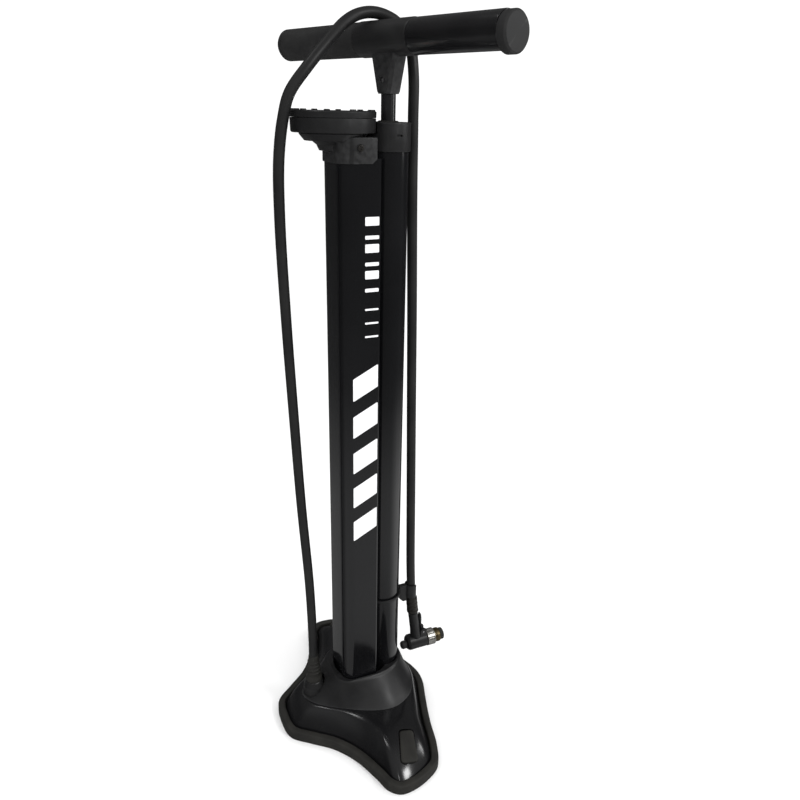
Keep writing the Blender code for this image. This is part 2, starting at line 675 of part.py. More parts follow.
def gauge_head():
    """The turning gauge head: case, spool, movement, dial, needle, lens and lugged bezel."""
    here = (0, HEAD_Y, 0)
    floor = HEAD_BOTTOM + 2.0
    joint = HEAD_TOP - 5.6
    case = [(31.4, joint), (34.2, joint), (33.8, HEAD_BOTTOM + 0.9), (33.0, HEAD_BOTTOM),
            (SPOOL_R + GAP, HEAD_BOTTOM), (SPOOL_R + GAP, floor), (31.4, floor)]
    turned("gauge_case", case, satin_black(), here, steps=32, ring=True)
    bezel = [(29.6, HEAD_TOP), (33.6, HEAD_TOP), (HEAD_R, HEAD_TOP - 1.0), (HEAD_R - 0.2, joint + GAP),
             (31.6, joint + GAP), (31.6, HEAD_TOP - 1.8), (29.6, HEAD_TOP - 1.4)]
    ring = turned("gauge_bezel", bezel, satin_black(), here, steps=32, ring=True)
    for number in range(HEAD_LUGS):
        angle = math.tau * (number + 0.25) / HEAD_LUGS
        low, high = (30.6, -2.2, HEAD_TOP - 1.2), (34.0, 2.2, HEAD_TOP + 0.9)
        add_shape(ring, block("lug", low, high, steel(), here, (0, 0, angle)))
    lens = HEAD_TOP - 1.6
    dome = [(0, lens), (20, lens - 0.2), (31.0, lens - 1.1), (31.0, lens - 2.4), (0, lens - 1.6)]
    turned("gauge_lens", dome, clear_plastic(), here, steps=28)
    face = ring_profile(1.6, 30.6, DIAL_Z - 0.8, DIAL_Z)
    turned("gauge_dial", face, white_plastic(), here, steps=28, ring=True)
    spool = [(0, 593.6), (2.8, 593.6), (SPOOL_R, 592.6), (SPOOL_R, 584.2), (3.4, 583.4), (3.4, 581.2),
             (SPOOL_R, 580.4), (SPOOL_R, 574.4), (0, 574.4)]
    turned("selector_spool", spool, brass(), here, steps=14)
    sweep = []
    for angle in np.radians(np.linspace(-60, 215, 14)):
        sweep.append((19 * math.cos(angle), HEAD_Y + 19 * math.sin(angle), floor + 3.0))
    spline_tube("bourdon_tube", sweep, 1.7, brass(), 1)
    block("gauge_movement", (-9, HEAD_Y - 5, floor + 2.6), (9, HEAD_Y + 5, DIAL_Z - 1.2), brass())
    pointer = [(-1.2, -7), (1.2, -7), (1.5, 0), (0.35, 24.5), (-0.35, 24.5), (-1.5, 0)]
    needle = slab("gauge_needle", [pointer], DIAL_Z + 1.4, DIAL_Z + 2.0,
                  material("needle_red", (0.6, 0.05, 0.03), 0.4), here, (0, 0, math.radians(NEEDLE_REST)))
    hub = [(0, DIAL_Z + 2.6), (3.0, DIAL_Z + 2.6), (3.0, DIAL_Z + 0.8), (0.9, DIAL_Z + 0.8),
           (0.9, DIAL_Z - 0.8), (0, DIAL_Z - 0.8)]
    add_shape(needle, turned("hub", hub, steel(), here, steps=14))


DIAL_Z = 598.2                # the printed face
NEEDLE_REST = 315.0


# ---- piston and handle --------------------------------------------------------------------------
def piston():
    """Head, seal ring, screw and bump stop: they slide in the tube and don't need to turn."""
    wide = TUBE_BORE_R - 0.6
    head = [(ROD_R + GAP, PISTON_TOP), (wide, PISTON_TOP), (wide, 33.4), (11.4, 33.4), (11.4, 29.4),
            (wide, 29.4), (wide, PISTON_BOTTOM), (2.9, PISTON_BOTTOM), (2.9, ROD_BOTTOM - GAP),
            (ROD_R + GAP, ROD_BOTTOM - GAP)]
    turned("piston_head", head, white_plastic(), steps=18, ring=True)
    seal = [(13.3 + 1.55 * c, 31.4 + 1.55 * s) for c, s in arc(0, 0, 1.0, 180, -135, 8)]
    turned("piston_seal", seal, rubber(), steps=18, ring=True)
    screw = [(0, 36.0), (2.5, 36.0), (2.5, PISTON_BOTTOM - GAP), (4.6, PISTON_BOTTOM - GAP),
             (4.2, 17.0), (0, 17.0)]
    turned("piston_screw", screw, steel(), steps=12)
    bumper = ring_profile(ROD_R + GAP, 11.0, PISTON_TOP + GAP, 58.0)
    turned("bump_stop", bumper, rubber(), steps=18, ring=True)


def piston_rod():
    rod = turned("piston_rod", ring_profile(ROD_BORE_R, ROD_R, ROD_BOTTOM, ROD_TOP), gloss_black(),
                 steps=20, ring=True)
    return cut_round(rod, 2.3, -20, 20, (0, 0, PIN_Z), pin_turn(), 12)


PIN_Z = 629.0
STEM_LEVELS = ((STEM_BOTTOM, 6.9, 6.9, 2.2), (621.0, 8.0, 7.4, 2.4), (645.0, 13.8, 7.6, 2.4),
               (652.0, 14.8, 7.6, 2.4))


def pin_turn():
    """The pin lies across the handle."""
    return (math.pi / 2, 0.0, HANDLE_YAW)


def handle_stem():
    """The tapered stem with the sleeve that the handle tube runs through."""
    rings = []
    for height, half_length, half_width, cut in STEM_LEVELS:
        corners = [(half_length, half_width - cut), (half_length - cut, half_width),
                   (-half_length + cut, half_width), (-half_length, half_width - cut),
                   (-half_length, -half_width + cut), (-half_length + cut, -half_width),
                   (half_length - cut, -half_width), (half_length, -half_width + cut)]
        rings.append([(x, y, height) for x, y in corners])
    yaw = (0, 0, HANDLE_YAW)
    stem = loft("handle_stem", rings, matte_black(), False, turn=yaw)
    sleeve = turned("sleeve", disc_profile(HUB_R, -HUB_HALF, HUB_HALF), steel(), (0, 0, HANDLE_Z),
                    along_handle(), steps=24)
    add_shape(stem, sleeve)
    cut_round(stem, CORE_R + GAP, -60, 60, (0, 0, HANDLE_Z), along_handle(), 18)
    cut_round(stem, ROD_R + GAP, 600, 641.6, steps=18)
    return cut_round(stem, 2.3, -20, 20, (0, 0, PIN_Z), pin_turn(), 12)


HUB_HALF = 30.0
CORE_R = 9.5


def along_handle():
    """Turn Z into the direction of the handle."""
    return (0.0, math.pi / 2, HANDLE_YAW)


def on_handle(distance, drop=0.0):
    return (distance * math.cos(HANDLE_YAW), distance * math.sin(HANDLE_YAW), HANDLE_Z - drop)


def handle():
    """Core tube, two grips and two unlike end caps, with the pin through stem and rod."""
    turn = along_handle()
    centre = on_handle(0.0)
    right = HANDLE_RIGHT - 9.0
    left = 7.0 - HANDLE_LEFT
    core = ring_profile(8.0, CORE_R, left + 1.0, right - 1.0)
    turned("handle_core", core, steel(), centre, turn, 20, True)
    inner = CORE_R + GAP
    sleeve = ring_profile(inner, GRIP_R, HUB_HALF + GAP, right)
    turned("grip_right", sleeve, gloss_black(), centre, turn, 24, True)
    sleeve = ring_profile(inner, GRIP_R, left, -HUB_HALF - GAP)
    turned("grip_left", sleeve, matte_black(), centre, turn, 24, True)
    edge = HANDLE_RIGHT
    cap = [(0, edge), (12.6, edge), (14.1, edge - 1.5), (14.1, right + 1.2), (13.2, right + GAP),
           (6.2, right + GAP), (6.2, right - 6.0), (0, right - 6.0)]
    turned("end_cap_right", cap, matte_black(), on_handle(0.0, 1.6), turn, 20)
    edge = -HANDLE_LEFT
    cap = [(0, left + 6.0), (7.6, left + 6.0), (7.6, left - GAP), (GRIP_R, left - GAP), (GRIP_R, edge + 4.0),
           (11.4, edge + 1.2), (9.0, edge), (0, edge)]
    turned("end_cap_left", cap, matte_black(), centre, turn, 20)
    turned("stem_pin", disc_profile(2.0, -6.6, 6.6), steel(), (0, 0, PIN_Z), pin_turn(), 14)


# ---- hose, clip and chuck -----------------------------------------------------------------------
# The hose leaves the boot, climbs in front of the gauge, lies over the handle beside the stem and
# hangs down behind the tube to its clip.
HOSE_ROUTE = [(0, -77, 78.3), (0, -77, 100), (-0.6, -78.5, 165), (-3, -83.3, 255), (-5, -87, 350),
              (-5, -90.5, 440), (-3, -93, 525), (-2, -92, 570), (2, -88.5, 600), (4, -83.5, 617.4),
              (3.9, -68.8, 636.3), (-1.9, -52.3, 652.6), (-13, -30.9, 670.9), (-17.2, -16.4, 677.5),
              (-17.7, -3.1, 678.5), (-15.2, 10.2, 674.0), (-12.3, 18, 666.5), (-9.3, 22.7, 655.9),
              (-5.8, 24.6, 634), (-4.6, 24.6, 600),
              (-3.8, 25.3, 535), (-2.4, 27.2, 440), (-1.1, 28.6, 349), (0.8, 30.2, 240),
              (1.7, 31.5, 165), (2, 32.6, 137), (2, 33.1, 123.2)]
HOSE_POINTS = 64


def hose():
    spline_tube("hose", [tuple(p) for p in smooth_path(HOSE_ROUTE, HOSE_POINTS)], HOSE_R, rubber())


JAW_Y = 32.4                  # centre of the clip's jaw
CLIP_TOP = 139.0
JAW_BOTTOM = 123.6


def hose_clip():
    """A strap round the pump tube with a webbed arm and an open jaw for the hose."""
    strap = arc(0, 0, TUBE_R + 2.2, -48, 228, 18) + arc(0, 0, TUBE_R + GAP, 228, -48, 18)
    clip = slab("hose_clip", [strap], 134.6, 137.4, matte_black())
    near = TUBE_R + 1.0
    arm = [(near, 134.8), (near, 124.0), (22.5, 119.5), (26.6, 119.5), (26.6, CLIP_TOP), (near, CLIP_TOP)]
    web = slab("web", [arm], -2.6, 2.6, steel())
    web.matrix_world = Matrix.Translation((HOSE_X * MM, 0, 0)) @ Matrix(
        ((0, 0, 1, 0), (1, 0, 0, 0), (0, 1, 0, 0), (0, 0, 0, 1)))
    add_shape(clip, web)
    jaw = arc(HOSE_X, JAW_Y, 6.6, -220, 40, 12) + arc(HOSE_X, JAW_Y, HOSE_R + 0.6, 40, -220, 12)
    add_shape(clip, slab("jaw", [jaw], JAW_BOTTOM, CLIP_TOP - 0.4, steel()))
    return clip


FERRULE_TOP = 122.8
FERRULE_LEAN = math.radians(6.0)
NECK_LEAN = math.radians(8.0)


def chuck():
    """Ferrule, body, rear cap, lever with its pin, and the screwed parts of the mouth."""
    ferrule = [(0, 0), (5.4, 0), (6.0, -3.0), (6.3, -20.0), (5.6, -21.4), (0, -21.4)]
    turned("hose_ferrule", ferrule, material("gunmetal", (0.09, 0.085, 0.08), 0.35, 0.8),
           (HOSE_X, 33.4, FERRULE_TOP), (FERRULE_LEAN, 0, 0), 20)
    head = [(0, 52.4), (8.0, 52.4), (8.6, 51.4), (8.6, 31.5), (7.0, 29.4), (0, 29.4)]
    along_y = (-math.pi / 2, 0, 0)
    centre = (HOSE_X, 0, CHUCK_Z)
    body = turned("chuck_body", head, satin_black(), centre, along_y, 24)
    neck = [(0, 0), (5.2, 0), (5.4, -22.0), (6.4, -34.0), (0, -34.0)]
    add_shape(body, turned("neck", neck, steel(), (HOSE_X, 35.8, 100.2), (NECK_LEAN, 0, 0), 18))
    for side in (-1, 1):
        lug = block("lug", (side * 4.0 - 1.2, -3.6, -6.0), (side * 4.0 + 1.2, 3.6, 3.6), steel(),
                    (HOSE_X, LEVER_Y, LEVER_Z))
        add_shape(body, lug)
    cut_round(body, 1.3, -10, 10, (HOSE_X, LEVER_Y, LEVER_Z), (0, math.pi / 2, 0), 14)
    cut_round(body, 4.4, 46.0, 60.0, centre, along_y, 20)
    turned("chuck_rear_cap", [(0, 29.1), (4.4, 29.1), (4.4, 24.2), (3.4, 22.8), (0, 22.8)], matte_black(),
           (HOSE_X, 0, CHUCK_Z - 1.6), along_y, 20)
    chuck_lever()
    nut = turned("chuck_nut", ring_profile(6.0, 9.0, 52.7, 61.6), steel(), centre, along_y, 24, True)
    for number in range(12):
        angle = math.tau * (number + 0.5) / 12
        groove = block("groove", (8.55, -0.35, 54.0), (9.6, 0.35, 60.4), steel())
        groove.matrix_world = (Matrix.Translation(Vector(centre) * MM)
                               @ Matrix.Rotation(-math.pi / 2, 4, "X") @ Matrix.Rotation(angle, 4, "Z"))
        boolean(nut, as_cutter(groove))
    sleeve = [(4.3, 68.4), (7.2, 68.4), (7.6, 67.6), (7.6, 61.9), (5.7, 61.9), (5.7, 53.2), (4.3, 53.2)]
    turned("chuck_sleeve", sleeve, brass(), centre, along_y, 20, True)
    gasket = [(4.3, 73.0), (5.9, 73.0), (6.4, 72.4), (6.4, 68.7), (4.3, 68.7)]
    turned("valve_gasket", gasket, rubber(), centre, along_y, 18, True)


LEVER_Y = 47.6
LEVER_Z = 73.4


def chuck_lever():
    """The thumb lever, folded up against the neck, and its pin."""
    side_view = [(-1.3, -1.5), (0.2, -1.95), (1.7, -1.3), (2.3, 0.0), (0.7, 5.0), (-1.8, 9.6), (-1.9, 17.6),
                 (-2.5, 23.0), (-4.2, 22.2), (-4.4, 17.6), (-3.5, 9.6), (-2.3, 5.0), (-1.9, 1.0)]
    lever = slab("chuck_lever", [side_view], -2.5, 2.5, matte_black())
    lever.matrix_world = Matrix.Translation(Vector((HOSE_X, LEVER_Y, LEVER_Z)) * MM) @ Matrix(
        ((0, 0, 1, 0), (1, 0, 0, 0), (0, 1, 0, 0), (0, 0, 0, 1)))
    hinge, across = (HOSE_X, LEVER_Y, LEVER_Z), (0, math.pi / 2, 0)
    cut_round(lever, 1.3, -10, 10, hinge, across, 14)
    turned("lever_pin", disc_profile(1.0, -5.2, 5.2), steel(), hinge, across, 12)


# ---- assembly -----------------------------------------------------------------------------------
def build():
    base_rim()
    base_pan()
    foot_pads()
    base_collar()
    bottom_plate()
    plate_screws()
    manifold_block()
    tank_plug("tank_bottom_plug", 14.0, 36.0, valve=True)
    tank_plug("tank_top_plug", 552.0, 568.6, valve=False)
    check_valve()
    outlet()
    pump_tube()
    tank_shell()
    tube_floor()
    top_cap()
    tube_cap()
    rod_guide()
    cap_screw()
    gauge_head()
    piston()
    piston_rod()
    handle_stem()
    handle()
    hose()
    hose_clip()
    chuck()
    bpy.context.view_layer.update()


build()
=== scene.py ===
"""Looks of the floor bike pump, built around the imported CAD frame.

The helpers take millimetres and turn them into metres. +Z is up, the origin is on the floor under the
axis of the pump tube, -Y is the side of the tank and the gauge, and +Y the side where the hose hangs.
"""
import json
import math

import bmesh
import bpy
import numpy as np
from mathutils import Matrix, Vector


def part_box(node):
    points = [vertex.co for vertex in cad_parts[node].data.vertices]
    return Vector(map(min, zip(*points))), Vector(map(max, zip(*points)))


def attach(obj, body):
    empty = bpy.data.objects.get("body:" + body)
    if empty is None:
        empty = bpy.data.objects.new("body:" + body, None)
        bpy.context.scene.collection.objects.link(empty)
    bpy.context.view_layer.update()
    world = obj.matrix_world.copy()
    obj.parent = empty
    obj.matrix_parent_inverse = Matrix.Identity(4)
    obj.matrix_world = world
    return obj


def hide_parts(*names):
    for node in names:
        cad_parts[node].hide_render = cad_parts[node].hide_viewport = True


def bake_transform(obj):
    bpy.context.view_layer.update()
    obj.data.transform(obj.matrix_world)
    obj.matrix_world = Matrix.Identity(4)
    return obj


MM = 0.001
GAP = 0.3                     # clearance between touching pieces, in mm
FINE = 128                    # sides of the largest turned pieces
ROUND = 96                    # sides of a large one
SMALL = 48                    # sides of a small one

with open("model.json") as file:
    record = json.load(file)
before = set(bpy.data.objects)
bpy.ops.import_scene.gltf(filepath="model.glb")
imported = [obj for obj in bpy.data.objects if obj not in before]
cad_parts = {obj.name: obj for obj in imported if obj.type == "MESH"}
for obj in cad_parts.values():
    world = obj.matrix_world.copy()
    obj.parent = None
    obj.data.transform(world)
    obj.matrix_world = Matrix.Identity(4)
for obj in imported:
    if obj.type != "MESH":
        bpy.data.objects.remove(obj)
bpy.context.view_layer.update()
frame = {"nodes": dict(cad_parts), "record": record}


def span(node):
    """The lowest and highest corner of a CAD node, in mm."""
    low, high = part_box(node)
    return np.array(low) / MM, np.array(high) / MM


TUBE_LOW, TUBE_HIGH = span("pump_tube")
TANK_LOW, TANK_HIGH = span("tank_shell")
CASE_LOW, CASE_HIGH = span("gauge_case")
BEZEL_LOW, BEZEL_HIGH = span("gauge_bezel")
ROD_LOW, ROD_HIGH = span("piston_rod")
CLIP_HIGH = span("hose_clip")[1]
NUT_LOW, NUT_HIGH = span("chuck_nut")
PIN_LOW, PIN_HIGH = span("lever_pin")

TUBE_R = TUBE_HIGH[0]
ROD_R = ROD_HIGH[0]
GAUGE = np.array([0.0, (CASE_LOW[1] + CASE_HIGH[1]) / 2, 0.0])      # axis of the gauge
DIAL_Z = span("gauge_dial")[1][2]
HANDLE_Z = 659.4
HANDLE_YAW = math.radians(20.0)
CHUCK = np.array([(NUT_LOW[0] + NUT_HIGH[0]) / 2, 0.0, (NUT_LOW[2] + NUT_HIGH[2]) / 2])
LEVER = np.array([(PIN_LOW[0] + PIN_HIGH[0]) / 2, (PIN_LOW[1] + PIN_HIGH[1]) / 2,
                  (PIN_LOW[2] + PIN_HIGH[2]) / 2])


# ---- materials ----------------------------------------------------------------------------------
def add_node(tree, kind, **values):
    node = tree.nodes.new(kind)
    for name, value in values.items():
        setattr(node, name, value)
    return node


def maths(tree, operation, first, second):
    """A Math node on two values, each a socket or a number."""
    node = add_node(tree, "ShaderNodeMath", operation=operation)
    for socket, value in zip(node.inputs, (first, second)):
        if isinstance(value, float):
            socket.default_value = value
        else:
            tree.links.new(value, socket)
    return node.outputs[0]


def noise_at(tree, size, stretch=(1, 1, 1), detail=3.0):
    """Noise in object space whose features are about size mm across."""
    where = add_node(tree, "ShaderNodeTexCoord")
    scale = add_node(tree, "ShaderNodeMapping")
    scale.inputs["Scale"].default_value = [factor / (size * MM) for factor in stretch]
    noise = add_node(tree, "ShaderNodeTexNoise")
    noise.inputs["Scale"].default_value = 1.0
    noise.inputs["Detail"].default_value = detail
    tree.links.new(where.outputs["Object"], scale.inputs["Vector"])
    tree.links.new(scale.outputs["Vector"], noise.inputs["Vector"])
    return noise.outputs["Fac"]


def ranged(tree, source, low, high, start=0.3, end=0.7):
    """Turn a noise value from start..end into low..high."""
    change = add_node(tree, "ShaderNodeMapRange")
    for name, value in (("From Min", start), ("From Max", end), ("To Min", low), ("To Max", high)):
        change.inputs[name].default_value = value
    tree.links.new(source, change.inputs["Value"])
    return change.outputs["Result"]


def blended(tree, factor, first, second):
    """A colour between two; each is a colour or a socket."""
    mix = add_node(tree, "ShaderNodeMix", data_type="RGBA")
    tree.links.new(factor, mix.inputs["Factor"])
    for name, value in (("A", first), ("B", second)):
        socket = [s for s in mix.inputs if s.name == name and s.type == "RGBA"][0]
        if isinstance(value, tuple):
            socket.default_value = (*value, 1.0)
        else:
            tree.links.new(value, socket)
    return [s for s in mix.outputs if s.type == "RGBA"][0]


WORN_EDGE = (0.53, 0.62)      # the pointiness where wear starts and where it is full
FINISHES = {}


def finish(name, dark, light, rough, specular=0.3, metallic=0.0, grain=0.5, relief=0.1, patch=14.0,
           stretch=(1, 1, 1), wear=None, **sockets):
    """A Principled finish: patchy colour, uneven gloss and a fine relief, all from noise.

    rough is its least and most roughness. grain and patch are the sizes of the fine and the broad
    noise in mm, relief the height of the bumps as a share of the grain, and wear the paler colour
    that shows on worn edges.
    """
    made = bpy.data.materials.new(name)
    made.use_nodes = True
    tree = made.node_tree
    shader = tree.nodes["Principled BSDF"]
    shader.inputs["Metallic"].default_value = metallic
    shader.inputs["Specular IOR Level"].default_value = specular
    for socket, value in sockets.items():
        shader.inputs[socket.replace("_", " ")].default_value = value
    broad = noise_at(tree, patch)
    fine = noise_at(tree, grain, stretch)
    colour = blended(tree, ranged(tree, broad, 0.0, 1.0), dark, light)
    if wear:
        shape = add_node(tree, "ShaderNodeNewGeometry")
        edges = ranged(tree, shape.outputs["Pointiness"], 0.0, 1.0, *WORN_EDGE)
        scuffs = ranged(tree, noise_at(tree, patch * 0.25), 0.0, 0.8)
        colour = blended(tree, maths(tree, "MULTIPLY", edges, scuffs), colour, wear)
    tree.links.new(colour, shader.inputs["Base Color"])
    tree.links.new(ranged(tree, broad, *rough), shader.inputs["Roughness"])
    bump = add_node(tree, "ShaderNodeBump")
    bump.inputs["Strength"].default_value = 1.0
    bump.inputs["Distance"].default_value = grain * relief * MM
    tree.links.new(fine, bump.inputs["Height"])
    tree.links.new(bump.outputs["Normal"], shader.inputs["Normal"])
    FINISHES[name] = made
    return made


def make_finishes():
    """One finish for each of the record's material slots, and two for the printing."""
    finish("gloss_black", (0.0045, 0.0045, 0.005), (0.007, 0.007, 0.0075), (0.14, 0.2), 0.5,
           grain=5.0, relief=0.002, patch=30.0, wear=(0.02, 0.02, 0.02))
    finish("satin_black", (0.008, 0.008, 0.0085), (0.012, 0.012, 0.0125), (0.36, 0.46), 0.4,
           grain=0.45, relief=0.07, wear=(0.03, 0.03, 0.031))
    finish("matte_black", (0.012, 0.012, 0.0125), (0.02, 0.02, 0.02), (0.55, 0.68), 0.35,
           grain=0.6, relief=0.12, wear=(0.045, 0.045, 0.045))
    finish("barrel_paint", (0.0032, 0.0033, 0.0038), (0.0046, 0.0047, 0.0054), (0.1, 0.15), 0.45,
           grain=6.0, relief=0.0015, patch=60.0)
    finish("rod_black", (0.009, 0.009, 0.01), (0.011, 0.011, 0.012), (0.22, 0.26),
           grain=0.8, relief=0.01, stretch=(1, 1, 0.02))
    finish("rubber_black", (0.013, 0.0125, 0.011), (0.022, 0.021, 0.018), (0.6, 0.75), 0.32,
           grain=0.7, relief=0.16, wear=(0.05, 0.048, 0.043))
    finish("hose_rubber", (0.008, 0.008, 0.0085), (0.015, 0.015, 0.0145), (0.42, 0.55), 0.32,
           relief=0.05, patch=40.0)
    finish("steel", (0.42, 0.42, 0.43), (0.6, 0.6, 0.61), (0.22, 0.4), 0.5, 1.0,
           grain=0.4, relief=0.03, patch=3.0)
    finish("nut_chrome", (0.4, 0.39, 0.365), (0.56, 0.55, 0.52), (0.26, 0.4), 0.5, 1.0,
           grain=0.4, relief=0.04, patch=2.5)
    finish("gunmetal", (0.03, 0.028, 0.026), (0.055, 0.052, 0.048), (0.3, 0.45), 0.4, 0.8,
           grain=0.3, relief=0.05, patch=4.0, wear=(0.14, 0.13, 0.12))
    finish("aluminium", (0.5, 0.5, 0.51), (0.68, 0.68, 0.69), (0.35, 0.5), 0.5, 1.0,
           grain=0.9, patch=6.0)
    finish("brass", (0.11, 0.085, 0.045), (0.19, 0.15, 0.085), (0.36, 0.5), 0.5, 1.0,
           grain=0.4, relief=0.03, patch=4.0, wear=(0.3, 0.25, 0.16))
    finish("white_plastic", (0.74, 0.74, 0.71), (0.84, 0.84, 0.82), (0.38, 0.5), 0.45,
           grain=0.8, relief=0.03)
    finish("lens_clear", (0.93, 0.95, 0.95), (0.97, 0.98, 0.98), (0.02, 0.05), 0.5,
           grain=8.0, relief=0.001, Transmission_Weight=1.0, IOR=1.49)
    finish("needle_red", (0.42, 0.02, 0.012), (0.55, 0.035, 0.02), (0.3, 0.42), 0.4,
           grain=0.4, relief=0.03, patch=3.0)
    finish("graphic", (0.8, 0.8, 0.81), (0.9, 0.9, 0.91), (0.3, 0.42), 0.4,
           grain=0.3, relief=0.04, patch=9.0)
    finish("dial_print", (0.01, 0.01, 0.011), (0.02, 0.02, 0.021), (0.45, 0.6),
           grain=0.2, relief=0.05, patch=3.0)


def paint_frame():
    """Every CAD node takes the finish of its slot in the record."""
    for part in frame["record"]["subparts"]:
        node = frame["nodes"][part["node"]]
        for holder in node.material_slots:
            holder.material = FINISHES[part["material_slot"]]


# ---- mesh helpers -------------------------------------------------------------------------------
def face_out(mesh):
    """Turn the faces of a mesh outwards."""
    work = bmesh.new()
    work.from_mesh(mesh)
    bmesh.ops.recalc_face_normals(work, faces=work.faces)
    work.to_mesh(mesh)
    work.free()


def mesh_from(points, faces):
    """A mesh in metres from points in mm, with its faces pointing out."""
    mesh = bpy.data.meshes.new("mesh")
    mesh.from_pydata([tuple(float(c) * MM for c in p) for p in points], [], faces)
    face_out(mesh)
    return mesh


def skin(rings, closed=False):
    """Skin rings of equally many points. Closed joins the last ring to the first; open gets flat ends."""
    count = len(rings[0])
    faces = []
    pairs = [(k, k + 1) for k in range(len(rings) - 1)]
    if closed:
        pairs.append((len(rings) - 1, 0))
    else:
        faces += [[i for i in range(count)], [(len(rings) - 1) * count + i for i in range(count)]]
    for a, b in pairs:
        for i in range(count):
            j = (i + 1) % count
            faces.append((a * count + i, a * count + j, b * count + j, b * count + i))
    return mesh_from([p for ring in rings for p in ring], faces)


def revolve(profile, sides=ROUND, wave=None):
    """Turn (radius, height) points round Z.

    A profile that starts and ends on the axis makes a solid, and any other closes on itself. wave
    changes the radius, and is a function of the angle, the radius and the height.
    """
    points, rows, faces = [], [], []
    angles = [math.tau * i / sides for i in range(sides)]
    for radius, height in profile:
        first = len(points)
        if radius < 1e-6:
            points.append((0.0, 0.0, height))
            rows.append([first] * sides)
            continue
        for angle in angles:
            reach = radius + (wave(angle, radius, height) if wave else 0.0)
            points.append((reach * math.cos(angle), reach * math.sin(angle), height))
        rows.append(list(range(first, first + sides)))
    pairs = list(zip(rows, rows[1:]))
    if profile[0][0] > 1e-6:
        pairs.append((rows[-1], rows[0]))
    for low, high in pairs:
        for i in range(sides):
            j = (i + 1) % sides
            corners = list(dict.fromkeys((low[i], low[j], high[j], high[i])))
            if len(corners) > 2:
                faces.append(corners)
    return mesh_from(points, faces)


def turned(profile, radius, steps=4, sides=ROUND):
    """A solid turned from a profile whose corners are rounded and whose ends lie on the axis."""
    return revolve(soften(profile, radius, steps, closed=False), sides)


def pipe(bore, radius, low, high, corner, steps=3, sides=ROUND):
    """A turned pipe with rounded edges."""
    section = [(bore, high), (radius, high), (radius, low), (bore, low)]
    return revolve(soften(section, corner, steps), sides)


def cutter(radius, low, high, sides=ROUND):
    """A round tool that cuts a hole between two heights."""
    return revolve([(0, high), (radius, high), (radius, low), (0, low)], sides)


def soften(points, radius, steps=5, closed=True):
    """Round the corners of an outline. radius is one number, or one for each point."""
    points = [np.array(p, float) for p in points]
    count = len(points)
    radii = radius if isinstance(radius, (list, tuple)) else [radius] * count
    result = []
    for i, here in enumerate(points):
        if radii[i] == 0 or (not closed and i in (0, count - 1)):
            result.append(tuple(here))
            continue
        back, on = points[i - 1] - here, points[(i + 1) % count] - here
        to_back, to_on = np.linalg.norm(back), np.linalg.norm(on)
        half = math.acos(max(-1.0, min(1.0, float(back @ on) / (to_back * to_on)))) / 2
        reach = min(radii[i] / math.tan(half), 0.48 * to_back, 0.48 * to_on)
        start, end = here + back / to_back * reach, here + on / to_on * reach
        for t in np.linspace(0.0, 1.0, steps + 1):
            result.append(tuple((1 - t) ** 2 * start + 2 * t * (1 - t) * here + t ** 2 * end))
    return result


def arc(cx, cy, radius, start, end, count):
    """Points on an arc in the plane, angles in degrees."""
    angles = np.radians(np.linspace(start, end, count))
    return [(cx + radius * math.cos(a), cy + radius * math.sin(a)) for a in angles]


def rounded_rect(half_w, front, back, front_corner, back_corner, count=12):
    """A closed outline, wide along X, with its own corner radius at the front and at the back."""
    outline = arc(half_w - front_corner, front + front_corner, front_corner, -90, 0, count)
    outline += arc(half_w - back_corner, back - back_corner, back_corner, 0, 90, count)
    outline += arc(-half_w + back_corner, back - back_corner, back_corner, 90, 180, count)
    return outline + arc(-half_w + front_corner, front + front_corner, front_corner, 180, 270, count)


def inset(points, distance):
    """Move each point of a closed outline inwards, square to the outline."""
    points = np.array(points, float)
    along = np.roll(points, -1, axis=0) - np.roll(points, 1, axis=0)
    along /= np.linalg.norm(along, axis=1)[:, None]
    return points + np.stack([-along[:, 1], along[:, 0]], axis=1) * distance


def lifted(points, height):
    """A flat outline as points at a height, which is one number or one for each point."""
    heights = np.broadcast_to(np.asarray(height, float), (len(points),))
    return [(float(x), float(y), float(z)) for (x, y), z in zip(points, heights)]


LOW_EDGE = 0.3


def pillow(outline, bottom, top, edge):
    """An extruded outline whose top edge is rounded by edge and whose bottom edge by LOW_EDGE."""
    angles = np.linspace(0.0, 1.0, 5) * math.pi / 2
    rings = [lifted(inset(outline, LOW_EDGE * (1 - math.sin(angle))),
                    bottom + LOW_EDGE * (1 - math.cos(angle))) for angle in angles]
    rings += [lifted(inset(outline, edge * (1 - math.cos(angle))), top - edge * (1 - math.sin(angle)))
              for angle in angles]
    return skin(rings)


def flat_shape(outlines, bottom, top, edge=0.0):
    """A flat outline, with holes if there are more outlines, made thick and softened at its edges."""
    curve = bpy.data.curves.new("outline", "CURVE")
    curve.dimensions = "2D"
    curve.fill_mode = "BOTH"
    curve.extrude = ((top - bottom) / 2 - edge) * MM
    curve.bevel_depth = edge * MM
    curve.bevel_resolution = 2
    curve.offset = -edge * MM
    for outline in outlines:
        spline = curve.splines.new("POLY")
        spline.points.add(len(outline) - 1)
        for point, (x, y) in zip(spline.points, outline):
            point.co = (x * MM, y * MM, 0.0, 1.0)
        spline.use_cyclic_u = True
    mesh = joined([evaluated(bpy.data.objects.new("outline", curve))])
    mesh.transform(shift(0, 0, (bottom + top) / 2))
    face_out(mesh)
    return mesh


def joined(meshes):
    """One mesh from several, without doubled points."""
    work = bmesh.new()
    for mesh in meshes:
        work.from_mesh(mesh)
    bmesh.ops.remove_doubles(work, verts=work.verts, dist=1e-7)
    result = bpy.data.meshes.new("mesh")
    work.to_mesh(result)
    work.free()
    return result


